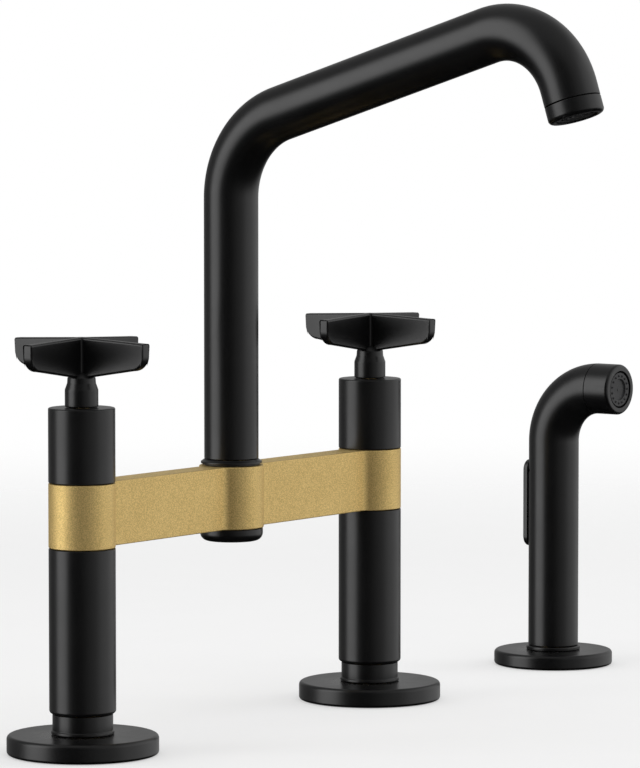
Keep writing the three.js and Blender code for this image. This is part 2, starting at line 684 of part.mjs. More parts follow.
/** Connector between the spray and its hose; the spray turns on its upper end. */
function sprayConnector() {
  const seat = SPRAY_FOOT - CLEAR;
  return revolve([
    [HOSE_R, CONNECTOR_FOOT], [GUIDE_BORE_R - CLEAR, CONNECTOR_FOOT], [GUIDE_BORE_R - CLEAR, seat],
    [CONNECTOR_R, seat], [CONNECTOR_R, SPRAY_FOOT + CONNECTOR_SPIGOT_L],
    [HOSE_R, SPRAY_FOOT + CONNECTOR_SPIGOT_L],
  ], 16);
}

/** Centreline of the spray body, up and over to the nozzle. */
function sprayLine() {
  return new Centreline(0, SPRAY_FOOT, Math.PI / 2)
    .straight(SPRAY_RISE_TOP - SPRAY_FOOT)
    .bend(SPRAY_BEND_R, Math.PI / 2, 9)
    .straight(SPRAY_STRAIGHT);
}

/** Spray body: bent tube with the trigger's pocket, lug slot, pin hole and plunger hole. */
function sprayBody() {
  const line = sprayLine();
  const bore = new Centreline(0, SPRAY_FOOT - GUARD, Math.PI / 2)
    .straight(SPRAY_RISE_TOP - SPRAY_FOOT + GUARD)
    .bend(SPRAY_BEND_R, Math.PI / 2, 9)
    .straight(SPRAY_STRAIGHT + GUARD);
  const halfPad = PAD_W / 2 + 0.4;
  return cut(
    line.sweep(SPRAY_R, 24),
    bore.sweep(SPRAY_BORE_R, 16),
    block([-halfPad, POCKET_FLOOR, PAD_FOOT - 0.6], [halfPad, SPRAY_R + GUARD, PAD_TOP + 0.6]),
    block([-LUG_W / 2 - CLEAR, 0, PIN_Z - LUG_R - CLEAR],
      [LUG_W / 2 + CLEAR, SPRAY_R, PIN_Z + LUG_R + CLEAR]),
    crossRod(PIN_R + CLEAR / 2, -PIN_L, PIN_L, PIN_Z, 12).translate(0, PIN_Y, 0),
    depthRod(PLUNGER_HEAD_R + CLEAR, PLUNGER_SINK, SPRAY_R, PLUNGER_Z, 16),
    depthRod(PLUNGER_R + CLEAR, 0, SPRAY_R, PLUNGER_Z, 16),
  );
}

/** Nozzle ring, built along +Z from the end of the spray body. */
function nozzleRing() {
  const spigotR = SPRAY_BORE_R - CLEAR;
  return revolve([
    [spigotR - 1.4, -NOZZLE_SPIGOT_L], [spigotR, -NOZZLE_SPIGOT_L], [spigotR, CLEAR],
    [SPRAY_R, CLEAR], [SPRAY_R, SPRAY_NOZZLE_L, 1.4], [FACE_R + 0.6, SPRAY_NOZZLE_L],
    [FACE_R + 0.6, SPRAY_NOZZLE_L - NOZZLE_WELL], [spigotR - 1.4, SPRAY_NOZZLE_L - NOZZLE_WELL],
  ], SIDES - 4, 2);
}

/** Spray face with its dish and its circle of jets, built along +Z. */
function sprayFace() {
  const front = SPRAY_NOZZLE_L - 0.4;
  const back = SPRAY_NOZZLE_L - NOZZLE_WELL + CLEAR;
  const plate = revolve([
    [0, back], [FACE_R, back], [FACE_R, front, 0.3], [FACE_DISH_R, front],
    [FACE_DISH_R - 0.2, front - FACE_DISH], [0, front - FACE_DISH],
  ], 24, 2);
  const jets = Array.from({ length: FACE_JETS }, (_, k) => rod(FACE_JET_R, front - 1.2, front + GUARD, 4)
    .translate(FACE_JET_CIRCLE_R, 0, 0).rotateZ((2 * Math.PI * k) / FACE_JETS));
  return cut(plate, ...jets);
}

/** Trigger: a rounded pad outside the spray body with a lug for its pin inside it. */
function trigger() {
  const outline = rounded([
    [-PAD_W / 2, PAD_FOOT, 4.5], [PAD_W / 2, PAD_FOOT, 4.5],
    [PAD_W / 2, PAD_TOP, 4.5], [-PAD_W / 2, PAD_TOP, 4.5],
  ], 4);
  const edge = 0.8;
  const pad = new THREE.ExtrudeGeometry(new THREE.Shape(outline), {
    depth: PAD_OUT - PAD_IN - edge,
    bevelSize: edge,
    bevelThickness: edge,
    bevelOffset: -edge,
    bevelSegments: 2,
  }).rotateX(Math.PI / 2).translate(0, PAD_OUT - edge, 0);
  const squared = common(pad, block([-PAD_W, PAD_IN, 0], [PAD_W, PAD_OUT + GUARD, PAD_TOP + GUARD]));
  const web = block([-LUG_W / 2, PIN_Y, PIN_Z - LUG_R], [LUG_W / 2, PAD_IN + 0.5, PIN_Z + LUG_R]);
  const eye = crossRod(LUG_R, -LUG_W / 2, LUG_W / 2, PIN_Z, 16).translate(0, PIN_Y, 0);
  const hole = crossRod(PIN_R + CLEAR / 2, -LUG_W, LUG_W, PIN_Z, 12).translate(0, PIN_Y, 0);
  return cut(fuse(squared, web, eye), hole);
}

/** Plunger that the trigger pushes towards the spray's valve. */
function plunger() {
  const headOut = PAD_IN - CLEAR;
  const headIn = headOut - PLUNGER_HEAD_T;
  return revolve([
    [0, 0], [PLUNGER_R, 0], [PLUNGER_R, headIn], [PLUNGER_HEAD_R, headIn],
    [PLUNGER_HEAD_R, headOut], [0, headOut],
  ], 16).rotateX(-Math.PI / 2).translate(0, 0, PLUNGER_Z);
}

// ---------------------------------------------------------------- sub-assemblies

/** One valve post with its cross handle. */
function addPost(assembly, side, x) {
  const add = (name, finish, geometry) => assembly.add(`${side}_${name}`, finish, geometry, x);
  const gasketIn = SHANK_R + 5;
  add('deck_gasket', 'rubber', ring(gasketIn, FLANGE_R - GASKET_RIM, 0, GASKET_T, SIDES - 4));
  add('flange', 'black', flange(FLANGE_R, FLANGE_H, SHANK_R + CLEAR, gasketIn));
  add('neck', 'black', revolve([
    [SHANK_R + CLEAR, FLANGE_H + CLEAR], [NECK_R + 0.4, FLANGE_H + CLEAR, 0.4],
    [NECK_R, FLANGE_H + CLEAR + 1.5], [NECK_R, SLEEVE_FOOT - CLEAR], [SHANK_R + CLEAR, SLEEVE_FOOT - CLEAR],
  ], SIDES, 1));
  add('sleeve', 'black', revolve([
    [SLEEVE_BORE_R, SLEEVE_FOOT], [POST_R, SLEEVE_FOOT, 1.4], [POST_R, SLEEVE_TOP, 0.3],
    [SLEEVE_BORE_R, SLEEVE_TOP],
  ], SIDES, 2));
  add('valve_body', 'rawBrass', valveBody(-Math.sign(x)));
  add('seat_seal', 'rubber', ring(DISC_PORT_R + DISC_PORT_OFFSET, DISC_R, CARTRIDGE_FOOT,
    CARTRIDGE_FOOT + SEAL_T, FINE_SIDES));
  add('fixed_disc', 'white', disc(FIXED_DISC_FOOT));
  add('moving_disc', 'white', disc(MOVING_DISC_FOOT));
  add('cartridge', 'rawBrass', cartridge());
  add('spindle', 'rawBrass', spindle());
  add('spindle_seal', 'rubber', oRing(SPINDLE_R - ORING_SECTION + 0.2, SPINDLE_ORING_Z));
  add('cartridge_nut', 'rawBrass', revolve([
    [SPIGOT_R + CLEAR, NUT_FOOT], [NUT_R, NUT_FOOT], [NUT_R, NUT_LIP_FOOT + NUT_LIP_T],
    [CARTRIDGE_NECK_R + CLEAR, NUT_LIP_FOOT + NUT_LIP_T], [CARTRIDGE_NECK_R + CLEAR, NUT_LIP_FOOT],
    [SPIGOT_R + CLEAR, NUT_LIP_FOOT],
  ], FINE_SIDES));
  add('bonnet', 'black', revolve([
    [BONNET_BORE_R, BONNET_FOOT], [POST_R, BONNET_FOOT, 0.3], [POST_R, BONNET_TOP, 0.6],
    [SPINDLE_R + 2 * CLEAR, BONNET_TOP], [SPINDLE_R + 2 * CLEAR, BONNET_TOP - BONNET_CAP],
    [BONNET_BORE_R, BONNET_TOP - BONNET_CAP],
  ], SIDES, 2));
  add('handle', 'black', handle());
  add('handle_screw', 'steel', depthRod(SCREW_R, SPLINE_R + CLEAR, STEM_R - 0.4, SCREW_H, 12));
}

/** The bridge and everything that belongs to the spout. */
function addSpout(assembly) {
  const stemSeal = SPOUT_STEM_R - ORING_SECTION + 0.15;
  const line = new Centreline(0, SPOUT_FOOT, Math.PI / 2)
    .straight(SPOUT_RISE_TOP - SPOUT_FOOT)
    .bend(SPOUT_BEND_R, THREE.MathUtils.degToRad(90 - SPOUT_ARM_RISE), 8)
    .straight(SPOUT_ARM)
    .bend(SPOUT_TIP_BEND_R, THREE.MathUtils.degToRad(SPOUT_TIP_TURN), 9)
    .straight(SPOUT_TIP - OUTLET_RING_L);
  const bore = new Centreline(0, SPOUT_FOOT - GUARD, Math.PI / 2)
    .straight(SPOUT_RISE_TOP - SPOUT_FOOT + GUARD)
    .bend(SPOUT_BEND_R, THREE.MathUtils.degToRad(90 - SPOUT_ARM_RISE), 6)
    .straight(SPOUT_ARM)
    .bend(SPOUT_TIP_BEND_R, THREE.MathUtils.degToRad(SPOUT_TIP_TURN), 6)
    .straight(SPOUT_TIP - OUTLET_RING_L + GUARD);
  assembly.add('bridge', 'brass', bridge());
  assembly.add('bottom_cap', 'black', bottomCap());
  assembly.add('spout_screw', 'steel', spoutScrew());
  assembly.add('spout_retainer', 'steel', ring(SCREW_THREAD_R + CLEAR, SPOUT_STEM_R + 1.0,
    RETAINER_FOOT, RETAINER_TOP, FINE_SIDES));
  assembly.add('spout_stem', 'rawBrass', spoutStem());
  assembly.add('spout_seal_low', 'rubber', oRing(stemSeal, BAND_MID - WATERWAY_R - 3));
  assembly.add('spout_seal_high', 'rubber', oRing(stemSeal, BAND_MID + WATERWAY_R + 3));
  assembly.add('spout_glide', 'plastic', ring(SPOUT_STEM_R + CLEAR, BASE_RING_R - 1.0,
    BAND_TOP + CLEAR, BAND_TOP + CLEAR + GLIDE_T, 16));
  assembly.add('spout_base_ring', 'black', baseRing());
  assembly.add('spout_tube', 'black', cut(line.sweep(SPOUT_R, 24), bore.sweep(SPOUT_BORE_R, 16)));
  assembly.add('outlet_ring', 'black', line.carry(outletRing()));
  assembly.add('aerator', 'plastic', line.carry(aerator()));
}

/** The side spray with its own flange. */
function addSpray(assembly) {
  const add = (name, finish, geometry) => assembly.add(`spray_${name}`, finish, geometry, SPRAY_X);
  const gasketIn = GUIDE_SPIGOT_R + 4;
  const line = sprayLine();
  add('gasket', 'rubber', ring(gasketIn, SPRAY_FLANGE_R - GASKET_RIM, 0, GASKET_T, SIDES - 4));
  add('flange', 'black', flange(SPRAY_FLANGE_R, SPRAY_FLANGE_H, GUIDE_SPIGOT_R + CLEAR, gasketIn));
  add('guide', 'black', sprayGuide());
  add('connector', 'rawBrass', sprayConnector());
  add('body', 'black', sprayBody());
  add('nozzle_ring', 'black', line.carry(nozzleRing()));
  add('face', 'plastic', line.carry(sprayFace()));
  add('trigger', 'black', trigger());
  add('trigger_pin', 'steel', crossRod(PIN_R, -PIN_L / 2, PIN_L / 2, PIN_Z, 12).translate(0, PIN_Y, 0));
  add('plunger', 'rawBrass', plunger());
}

const faucet = new Assembly();
addPost(faucet, 'left', -CENTRES / 2);
addPost(faucet, 'right', CENTRES / 2);
addSpout(faucet);
addSpray(faucet);

export default faucet.finished();
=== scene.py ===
"""Looks of the bridge kitchen faucet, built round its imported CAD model.

Two valve posts carry a brass bridge, a turning spout stands in the middle of it and a side
spray stands by itself.  Sizes are in millimetres until a mesh is made, which is in metres.
"""

import json
import logging
import math
from collections.abc import Iterable, Sequence
from dataclasses import dataclass, field
from enum import Enum

import bmesh
import bpy
from mathutils import Matrix, Vector


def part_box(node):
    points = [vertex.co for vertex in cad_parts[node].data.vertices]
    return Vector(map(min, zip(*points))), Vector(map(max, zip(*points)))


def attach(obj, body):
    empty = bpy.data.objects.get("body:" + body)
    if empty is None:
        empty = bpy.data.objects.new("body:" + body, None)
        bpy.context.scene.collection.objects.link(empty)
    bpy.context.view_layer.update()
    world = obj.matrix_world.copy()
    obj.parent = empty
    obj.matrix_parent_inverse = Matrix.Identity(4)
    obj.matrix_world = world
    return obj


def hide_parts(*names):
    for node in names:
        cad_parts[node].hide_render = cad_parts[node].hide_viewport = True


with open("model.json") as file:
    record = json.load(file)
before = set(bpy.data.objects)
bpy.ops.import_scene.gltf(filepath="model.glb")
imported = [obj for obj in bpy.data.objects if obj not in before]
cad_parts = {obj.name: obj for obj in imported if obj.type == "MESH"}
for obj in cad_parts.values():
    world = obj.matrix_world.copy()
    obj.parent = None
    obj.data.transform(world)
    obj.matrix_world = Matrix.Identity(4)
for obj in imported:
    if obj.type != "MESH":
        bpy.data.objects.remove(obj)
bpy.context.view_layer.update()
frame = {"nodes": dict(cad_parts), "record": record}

MM = 0.001
CLEAR = 0.3
SMOOTH_ANGLE = math.radians(32)
LOG = logging.getLogger("faucet")

Point = tuple[float, ...]
Colour = tuple[float, float, float]


# ---------------------------------------------------------------- names of options


class Body(Enum):
    """Bodies of the CAD model that pieces ride on."""

    FAUCET = "faucet_body"
    LEFT_HANDLE = "left_handle"
    RIGHT_HANDLE = "right_handle"
    SPOUT = "spout"
    CONNECTOR = "spray_connector"
    SPRAY_HEAD = "spray_head"
    TRIGGER = "spray_trigger"
    PLUNGER = "spray_plunger"


class Slot(Enum):
    """Material slots of the record."""

    BLACK = "matte_black"
    BRASS = "brushed_brass"
    MACHINED = "plain_brass"
    RUBBER = "rubber"
    CERAMIC = "ceramic"
    STEEL = "steel"
    PLASTIC = "black_plastic"


class Side(Enum):
    """The two valve posts."""

    LEFT = "left"
    RIGHT = "right"


# ---------------------------------------------------------------- meshes


def rounded(corners: Sequence[Point], closed: bool, steps: int = 6) -> list[tuple[float, float]]:
    """Rounds the corners of a flat path.

    Args:
        corners: Points (x, y) or (x, y, radius of the rounding).
        closed: Whether the last corner joins the first.
        steps: Chords of a rounding.

    Returns:
        The points of the path.
    """
    path: list[tuple[float, float]] = []
    count = len(corners)
    for i, corner in enumerate(corners):
        here = Vector(corner[:2])
        radius = corner[2] if len(corner) > 2 else 0.0
        if radius <= 0 or (not closed and i in (0, count - 1)):
            path.append((here.x, here.y))
            continue
        before = (Vector(corners[i - 1][:2]) - here).normalized()
        after = (Vector(corners[(i + 1) % count][:2]) - here).normalized()
        half = math.acos(max(-1.0, min(1.0, before.dot(after)))) / 2
        centre = here + (before + after).normalized() * (radius / math.sin(half))
        start = here + before * (radius / math.tan(half)) - centre
        end = here + after * (radius / math.tan(half)) - centre
        turn = math.atan2(start.x * end.y - start.y * end.x, start.dot(end))
        for k in range(steps + 1):
            spoke = Matrix.Rotation(turn * k / steps, 2) @ start + centre
            path.append((spoke.x, spoke.y))
    return path


class Shell:
    """Points and faces of one mesh, in millimetres."""

    def __init__(self) -> None:
        """Starts empty."""
        self.points: list[Vector] = []
        self.faces: list[tuple[int, ...]] = []

    def ring(self, points: Iterable[Vector]) -> list[int]:
        """Adds points.

        Args:
            points: The points in their order.

        Returns:
            Their indices.
        """
        first = len(self.points)
        self.points.extend(points)
        return list(range(first, len(self.points)))

    def skin(self, first: Sequence[int], second: Sequence[int]) -> None:
        """Joins two closed rings by faces; a ring of one point is a pole.

        Args:
            first: Indices of one ring.
            second: Indices of the other.
        """
        count = max(len(first), len(second))
        for i in range(count):
            j = (i + 1) % count
            if len(first) == 1:
                self.faces.append((first[0], second[j], second[i]))
            elif len(second) == 1:
                self.faces.append((first[i], first[j], second[0]))
            else:
                self.faces.append((first[i], first[j], second[j], second[i]))

    def placed(self, matrix: Matrix) -> "Shell":
        """Moves the shell.

        Args:
            matrix: Where its own frame goes.

        Returns:
            The shell itself.
        """
        self.points = [matrix @ point for point in self.points]
        return self

    def join(self, other: "Shell") -> "Shell":
        """Adds another shell's faces.

        Args:
            other: The shell that is added.

        Returns:
            The shell itself.
        """
        offset = len(self.points)
        self.points.extend(other.points)
        self.faces.extend(tuple(i + offset for i in face) for face in other.faces)
        return self

    def mesh(self, name: str) -> bpy.types.Mesh:
        """Makes the mesh in metres, with its faces turned outwards.

        Args:
            name: Name of the mesh.

        Returns:
            The mesh.
        """
        made = bpy.data.meshes.new(name)
        made.from_pydata([point * MM for point in self.points], [], self.faces)
        made.validate()
        tidy(made)
        return made


def tidy(mesh: bpy.types.Mesh, weld: float = 1e-7) -> None:
    """Welds points, drops faces without area and turns the rest outwards.

    Args:
        mesh: The mesh that is changed.
        weld: Points nearer than this, in metres, become one.
    """
    work = bmesh.new()
    work.from_mesh(mesh)
    bmesh.ops.remove_doubles(work, verts=work.verts, dist=weld)
    bmesh.ops.dissolve_degenerate(work, edges=work.edges, dist=weld)
    bmesh.ops.recalc_face_normals(work, faces=work.faces)
    work.to_mesh(mesh)
    work.free()


def circle(radius: float, sides: int, height: float = 0.0, start: float = 0.0) -> list[Vector]:
    """Points of a level circle about the Z axis.

    Args:
        radius: Radius of the circle.
        sides: Number of points.
        height: Height of the circle.
        start: Angle of the first point, in radians.

    Returns:
        The points.
    """
    angles = [start + 2 * math.pi * k / sides for k in range(sides)]
    return [Vector((radius * math.cos(a), radius * math.sin(a), height)) for a in angles]


def turned(corners: Sequence[Point], sides: int = 96, steps: int = 6) -> Shell:
    """Body of revolution about Z.

    Args:
        corners: (radius, height) or (radius, height, rounding); closed unless it starts on the axis.
        sides: Facets round the axis.
        steps: Chords of a rounding.

    Returns:
        The shell.
    """
    closed = corners[0][0] > 0
    shell = Shell()
    rings = [
        shell.ring(circle(radius, sides, height) if radius > 1e-6 else [Vector((0, 0, height))])
        for radius, height in rounded(corners, closed, steps)
    ]
    for first, second in zip(rings, rings[1:]):
        shell.skin(first, second)
    if closed:
        shell.skin(rings[-1], rings[0])
    return shell


def rod(radius: float, foot: float, top: float, sides: int) -> Shell:
    """Plain rod about Z.

    Args:
        radius: Its radius.
        foot: Height of the lower face.
        top: Height of the upper face.
        sides: Facets round the axis.

    Returns:
        The shell.
    """
    return turned([(0, foot), (radius, foot), (radius, top), (0, top)], sides)


def prism(outline: Sequence[tuple[float, float]], foot: float, top: float) -> Shell:
    """Upright solid on an outline.

    Args:
        outline: The outline in plan.
        foot: Height of the lower face.
        top: Height of the upper face.

    Returns:
        The shell.
    """
    shell = Shell()
    low = shell.ring(Vector((x, y, foot)) for x, y in outline)
    high = shell.ring(Vector((x, y, top)) for x, y in outline)
    shell.skin(low, high)
    shell.faces.append(tuple(reversed(low)))
    shell.faces.append(tuple(high))
    return shell


def facing_back(height: float) -> Matrix:
    """Frame on the Z axis whose own Z points to the back of the faucet.

    Args:
        height: Height of the frame.

    Returns:
        The frame as a matrix.
    """
    return Matrix.Translation((0, 0, height)) @ Matrix.Rotation(-math.pi / 2, 4, "X")


class Centreline:
    """Line of a bent tube in the YZ plane, from upright to the way the tube points, -Y."""

    def __init__(self, up: float) -> None:
        """Starts upright.

        Args:
            up: Height of the first station.
        """
        self.stations: list[tuple[float, float, float]] = [(0.0, up, math.pi / 2)]

    def straight(self, length: float, steps: int = 1) -> "Centreline":
        """Goes on straight.

        Args:
            length: How far.
            steps: Stations that are added.

        Returns:
            The line itself.
        """
        out, up, heading = self.stations[-1]
        for k in range(1, steps + 1):
            part = length * k / steps
            self.stations.append((out + part * math.cos(heading), up + part * math.sin(heading), heading))
        return self

    def bend(self, radius: float, degrees: float, steps: int) -> "Centreline":
        """Goes on in a bend downwards.

        Args:
            radius: Radius of the bend.
            degrees: Angle of the bend.
            steps: Stations that are added.

        Returns:
            The line itself.
        """
        out, up, heading = self.stations[-1]
        for k in range(1, steps + 1):
            now = heading - math.radians(degrees) * k / steps
            self.stations.append((
                out + radius * (math.sin(heading) - math.sin(now)),
                up + radius * (math.cos(now) - math.cos(heading)),
                now,
            ))
        return self

    def place(self, index: int, along: float = 0.0) -> Matrix:
        """Frame at a station: Z along the tube, X level.

        Args:
            index: Which station.
            along: How far beyond the station.

        Returns:
            The frame as a matrix.
        """
        out, up, heading = self.stations[index]
        cos, sin = math.cos(heading), math.sin(heading)
        return Matrix((
            (1, 0, 0, 0),
            (0, sin, -cos, -out - along * cos),
            (0, cos, sin, up + along * sin),
            (0, 0, 0, 1),
        ))

    def tube(self, radius: float, bore: float, edge: float, sides: int) -> Shell:
        """Hollow tube along the line with rounded rims.

        Args:
            radius: Outer radius.
            bore: Inner radius.
            edge: Rounding of the outer rims.
            sides: Facets round the tube.

        Returns:
            The shell.
        """
        last = len(self.stations) - 1
        turn = [math.pi / 2 * k / 4 for k in range(5)]
        rings = [(0, edge - edge * math.sin(a), radius - edge + edge * math.cos(a)) for a in reversed(turn)]
        rings += [(k, 0.0, radius) for k in range(1, last)]
        rings += [(last, edge * math.sin(a) - edge, radius - edge + edge * math.cos(a)) for a in turn]
        rings += [(k, 0.0, bore) for k in range(last, -1, -1)]
        shell = Shell()
        made = []
        for index, along, size in rings:
            matrix = self.place(index, along)
            made.append(shell.ring(matrix @ point for point in circle(size, sides)))
        for first, second in zip(made, made[1:] + made[:1]):
            shell.skin(first, second)
        return shell


def loose(mesh: bpy.types.Mesh) -> bpy.types.Object:
    """Puts a mesh in the scene as an object that isn't a piece yet.

    Args:
        mesh: The mesh.

    Returns:
        The object.
    """
    thing = bpy.data.objects.new(mesh.name, mesh)
    bpy.context.scene.collection.objects.link(thing)
    return thing


def baked(thing: bpy.types.Object) -> bpy.types.Mesh:
    """Mesh of an object with its modifiers applied; the object goes.

    Args:
        thing: The object.

    Returns:
        The new mesh.
    """
    graph = bpy.context.evaluated_depsgraph_get()
    mesh = bpy.data.meshes.new_from_object(thing.evaluated_get(graph))
    old = thing.data
    bpy.data.objects.remove(thing)
    bpy.data.meshes.remove(old)
    return mesh


def combined(whole: bpy.types.Mesh, parts: Sequence[Shell], operation: str) -> bpy.types.Mesh:
    """Adds shells to a mesh or cuts them from it.

    Args:
        whole: The mesh that is worked on.
        parts: The shells.
        operation: UNION or DIFFERENCE.

    Returns:
        The new mesh.
    """
    for number, part in enumerate(parts):
        base = loose(whole)
        tool = loose(part.mesh(f"tool_{number}"))
        step = base.modifiers.new("cut", "BOOLEAN")
        step.operation = operation
        step.solver = "EXACT"
        step.object = tool
        whole = baked(base)
        tool_mesh = tool.data
        bpy.data.objects.remove(tool)
        bpy.data.meshes.remove(tool_mesh)
        tidy(whole, 2e-6)
    return whole


def bevelled(mesh: bpy.types.Mesh, width: float, segments: int, angle: float = 30.0) -> bpy.types.Mesh:
    """Rounds the sharp edges of a mesh.

    Args:
        mesh: The mesh.
        width: Width of the rounding in millimetres.
        segments: Facets across it.
        angle: Edges that turn more than this, in degrees, are rounded.

    Returns:
        The new mesh.
    """
    thing = loose(mesh)
    step = thing.modifiers.new("edges", "BEVEL")
    step.width = width * MM
    step.segments = segments
    step.limit_method = "ANGLE"
    step.use_clamp_overlap = False
    step.angle_limit = math.radians(angle)
    return baked(thing)


# ---------------------------------------------------------------- shader graphs


class Graph:
    """Short hand for the nodes of a material or a group."""

    def __init__(self, tree: bpy.types.NodeTree) -> None:
        """Takes a tree.

        Args:
            tree: The tree that the nodes go in.
        """
        self.tree = tree

    def add(self, kind: str, links: dict | None = None, **settings: object) -> bpy.types.Node:
        """Adds a node.

        Args:
            kind: Its type without the ShaderNode in front.
            links: Values or sockets by input name or number.
            **settings: Properties of the node.

        Returns:
            The node.
        """
        node = self.tree.nodes.new(f"ShaderNode{kind}")
        for key, value in settings.items():
            setattr(node, key, value)
        self.feed(node, links or {})
        return node

    def feed(self, node: bpy.types.Node, links: dict) -> None:
        """Gives a node its inputs.

        Args:
            node: The node.
            links: Values or sockets by input name or number.
        """
        for key, value in links.items():
            if isinstance(value, bpy.types.NodeSocket):
                self.tree.links.new(value, node.inputs[key])
            else:
                node.inputs[key].default_value = value

    def math(self, operation: str, first: object, second: object = 0.0) -> bpy.types.NodeSocket:
        """Adds a Math node.

        Args:
            operation: What it does.
            first: First value or socket.
            second: Second value or socket.

        Returns:
            Its result.
        """
        return self.add("Math", {0: first, 1: second}, operation=operation).outputs[0]

    def ramp(self, value: object, low: object, high: object, to_low: float, to_high: float,
             smooth: bool = True) -> bpy.types.NodeSocket:
        """Adds a Map Range node.

        Args:
            value: The value or socket that is mapped.
            low: Lower end of the source.
            high: Upper end of the source.
            to_low: Result at the lower end.
            to_high: Result at the upper end.
            smooth: Whether it eases in and out.

        Returns:
            Its result.
        """
        kind = "SMOOTHSTEP" if smooth else "LINEAR"
        links = {"Value": value, "From Min": low, "From Max": high, "To Min": to_low, "To Max": to_high}
        return self.add("MapRange", links, interpolation_type=kind).outputs["Result"]

    def blend(self, factor: object, first: object, second: object) -> bpy.types.NodeSocket:
        """Adds a colour Mix node.

        Args:
            factor: Share of the second colour.
            first: First colour or socket.
            second: Second colour or socket.

        Returns:
            The mixed colour.
        """
        first, second = (
            colour if isinstance(colour, bpy.types.NodeSocket) else (*colour, 1.0)
            for colour in (first, second)
        )
        return self.add("Mix", {0: factor, 6: first, 7: second}, data_type="RGBA").outputs[2]

    def group(self, tree: bpy.types.NodeTree, links: dict) -> bpy.types.Node:
        """Places a node group.

        Args:
            tree: The group.
            links: Values or sockets by input name.

        Returns:
            The group's node.
        """
        return self.add("Group", links, node_tree=tree)


class Effect:
    """A shader node group that several finishes place with their own values."""

    def __init__(self, name: str, inputs: dict[str, float], outputs: Sequence[str]) -> None:
        """Makes the group's tree and its sockets.

        Args:
            name: Name of the group.
            inputs: Input names with their usual values.
            outputs: Output names.
        """
        self.tree = bpy.data.node_groups.new(name, "ShaderNodeTree")
        for key, value in inputs.items():
            socket = self.tree.interface.new_socket(key, in_out="INPUT", socket_type="NodeSocketFloat")
            socket.default_value = value
        for key in outputs:
            self.tree.interface.new_socket(key, in_out="OUTPUT", socket_type="NodeSocketFloat")
        self.graph = Graph(self.tree)
        self.inputs = self.tree.nodes.new("NodeGroupInput").outputs
        self.outputs = self.tree.nodes.new("NodeGroupOutput").inputs
        self.place = self.graph.add("TexCoord").outputs["Object"]

    def give(self, name: str, socket: bpy.types.NodeSocket) -> None:
        """Links a result to one of the group's outputs.

        Args:
            name: Name of the output.
            socket: The result.
        """
        self.tree.links.new(socket, self.outputs[name])

    def noise(self, scale: object, detail: float = 2.0, rough: float = 0.5) -> bpy.types.NodeSocket:
        """Noise over the object's own coordinates.

        Args:
            scale: Features to the metre, as a value or a socket.
            detail: Octaves.
            rough: How strong the finer octaves are.

        Returns:
            The noise value.
        """
        links = {"Vector": self.place, "Scale": scale, "Detail": detail, "Roughness": rough}
        return self.graph.add("TexNoise", links).outputs[0]


def sprayed_skin() -> bpy.types.NodeTree:
    """Group for a sprayed or moulded skin: soft waves with a fine tooth on them.

    Returns:
        The group, with outputs Height and Cloud.
    """
    effect = Effect("sprayed_skin", {"Wave Scale": 500.0, "Tooth Scale": 4000.0, "Tooth": 0.3},
                    ("Height", "Cloud"))
    wave = effect.noise(effect.inputs["Wave Scale"], 1.0)
    tooth = effect.noise(effect.inputs["Tooth Scale"], 2.0)
    graph = effect.graph
    effect.give("Height", graph.math("ADD", wave, graph.math("MULTIPLY", tooth, effect.inputs["Tooth"])))
    effect.give("Cloud", effect.noise(60.0, 3.0))
    return effect.tree


def edge_wear() -> bpy.types.NodeTree:
    """Group for rubbed edges, broken up by noise.

    Returns:
        The group, with output Mask.
    """
    effect = Effect("edge_wear", {"Start": 0.52, "End": 0.6, "Break Scale": 900.0}, ("Mask",))
    graph = effect.graph
    sharp = graph.add("NewGeometry").outputs["Pointiness"]
    edge = graph.ramp(sharp, effect.inputs["Start"], effect.inputs["End"], 0.0, 1.0)
    broken = graph.ramp(effect.noise(effect.inputs["Break Scale"], 3.0), 0.35, 0.6, 0.25, 1.0)
    effect.give("Mask", graph.math("MULTIPLY", edge, broken))
    return effect.tree


def handling() -> bpy.types.NodeTree:
    """Group for faint marks of hands and wiping, which only change the gloss.

    Returns:
        The group, with output Value from 0 to 1.
    """
    effect = Effect("handling", {"Scale": 35.0, "Fine Scale": 260.0}, ("Value",))
    graph = effect.graph
    broad = effect.noise(effect.inputs["Scale"], 3.0, 0.6)
    fine = effect.noise(effect.inputs["Fine Scale"], 2.0, 0.5)
    mixed = graph.math("ADD", graph.math("MULTIPLY", broad, 0.7), graph.math("MULTIPLY", fine, 0.3))
    effect.give("Value", graph.ramp(mixed, 0.3, 0.7, 0.0, 1.0))
    return effect.tree


def sand_grain() -> bpy.types.NodeTree:
    """Group for brass with a fine cast and sanded grain.

    Returns:
        The group, with outputs Height and Fleck.
    """
    effect = Effect("sand_grain", {"Scale": 1500.0, "Coarse": 0.5}, ("Height", "Fleck"))
    graph = effect.graph
    fine = effect.noise(effect.inputs["Scale"], 3.0, 0.6)
    coarse = effect.noise(graph.math("MULTIPLY", effect.inputs["Scale"], 0.35), 2.0)
    height = graph.math("ADD", fine, graph.math("MULTIPLY", coarse, effect.inputs["Coarse"]))
    effect.give("Height", height)
    effect.give("Fleck", graph.ramp(fine, 0.38, 0.62, 0.0, 1.0))
    return effect.tree


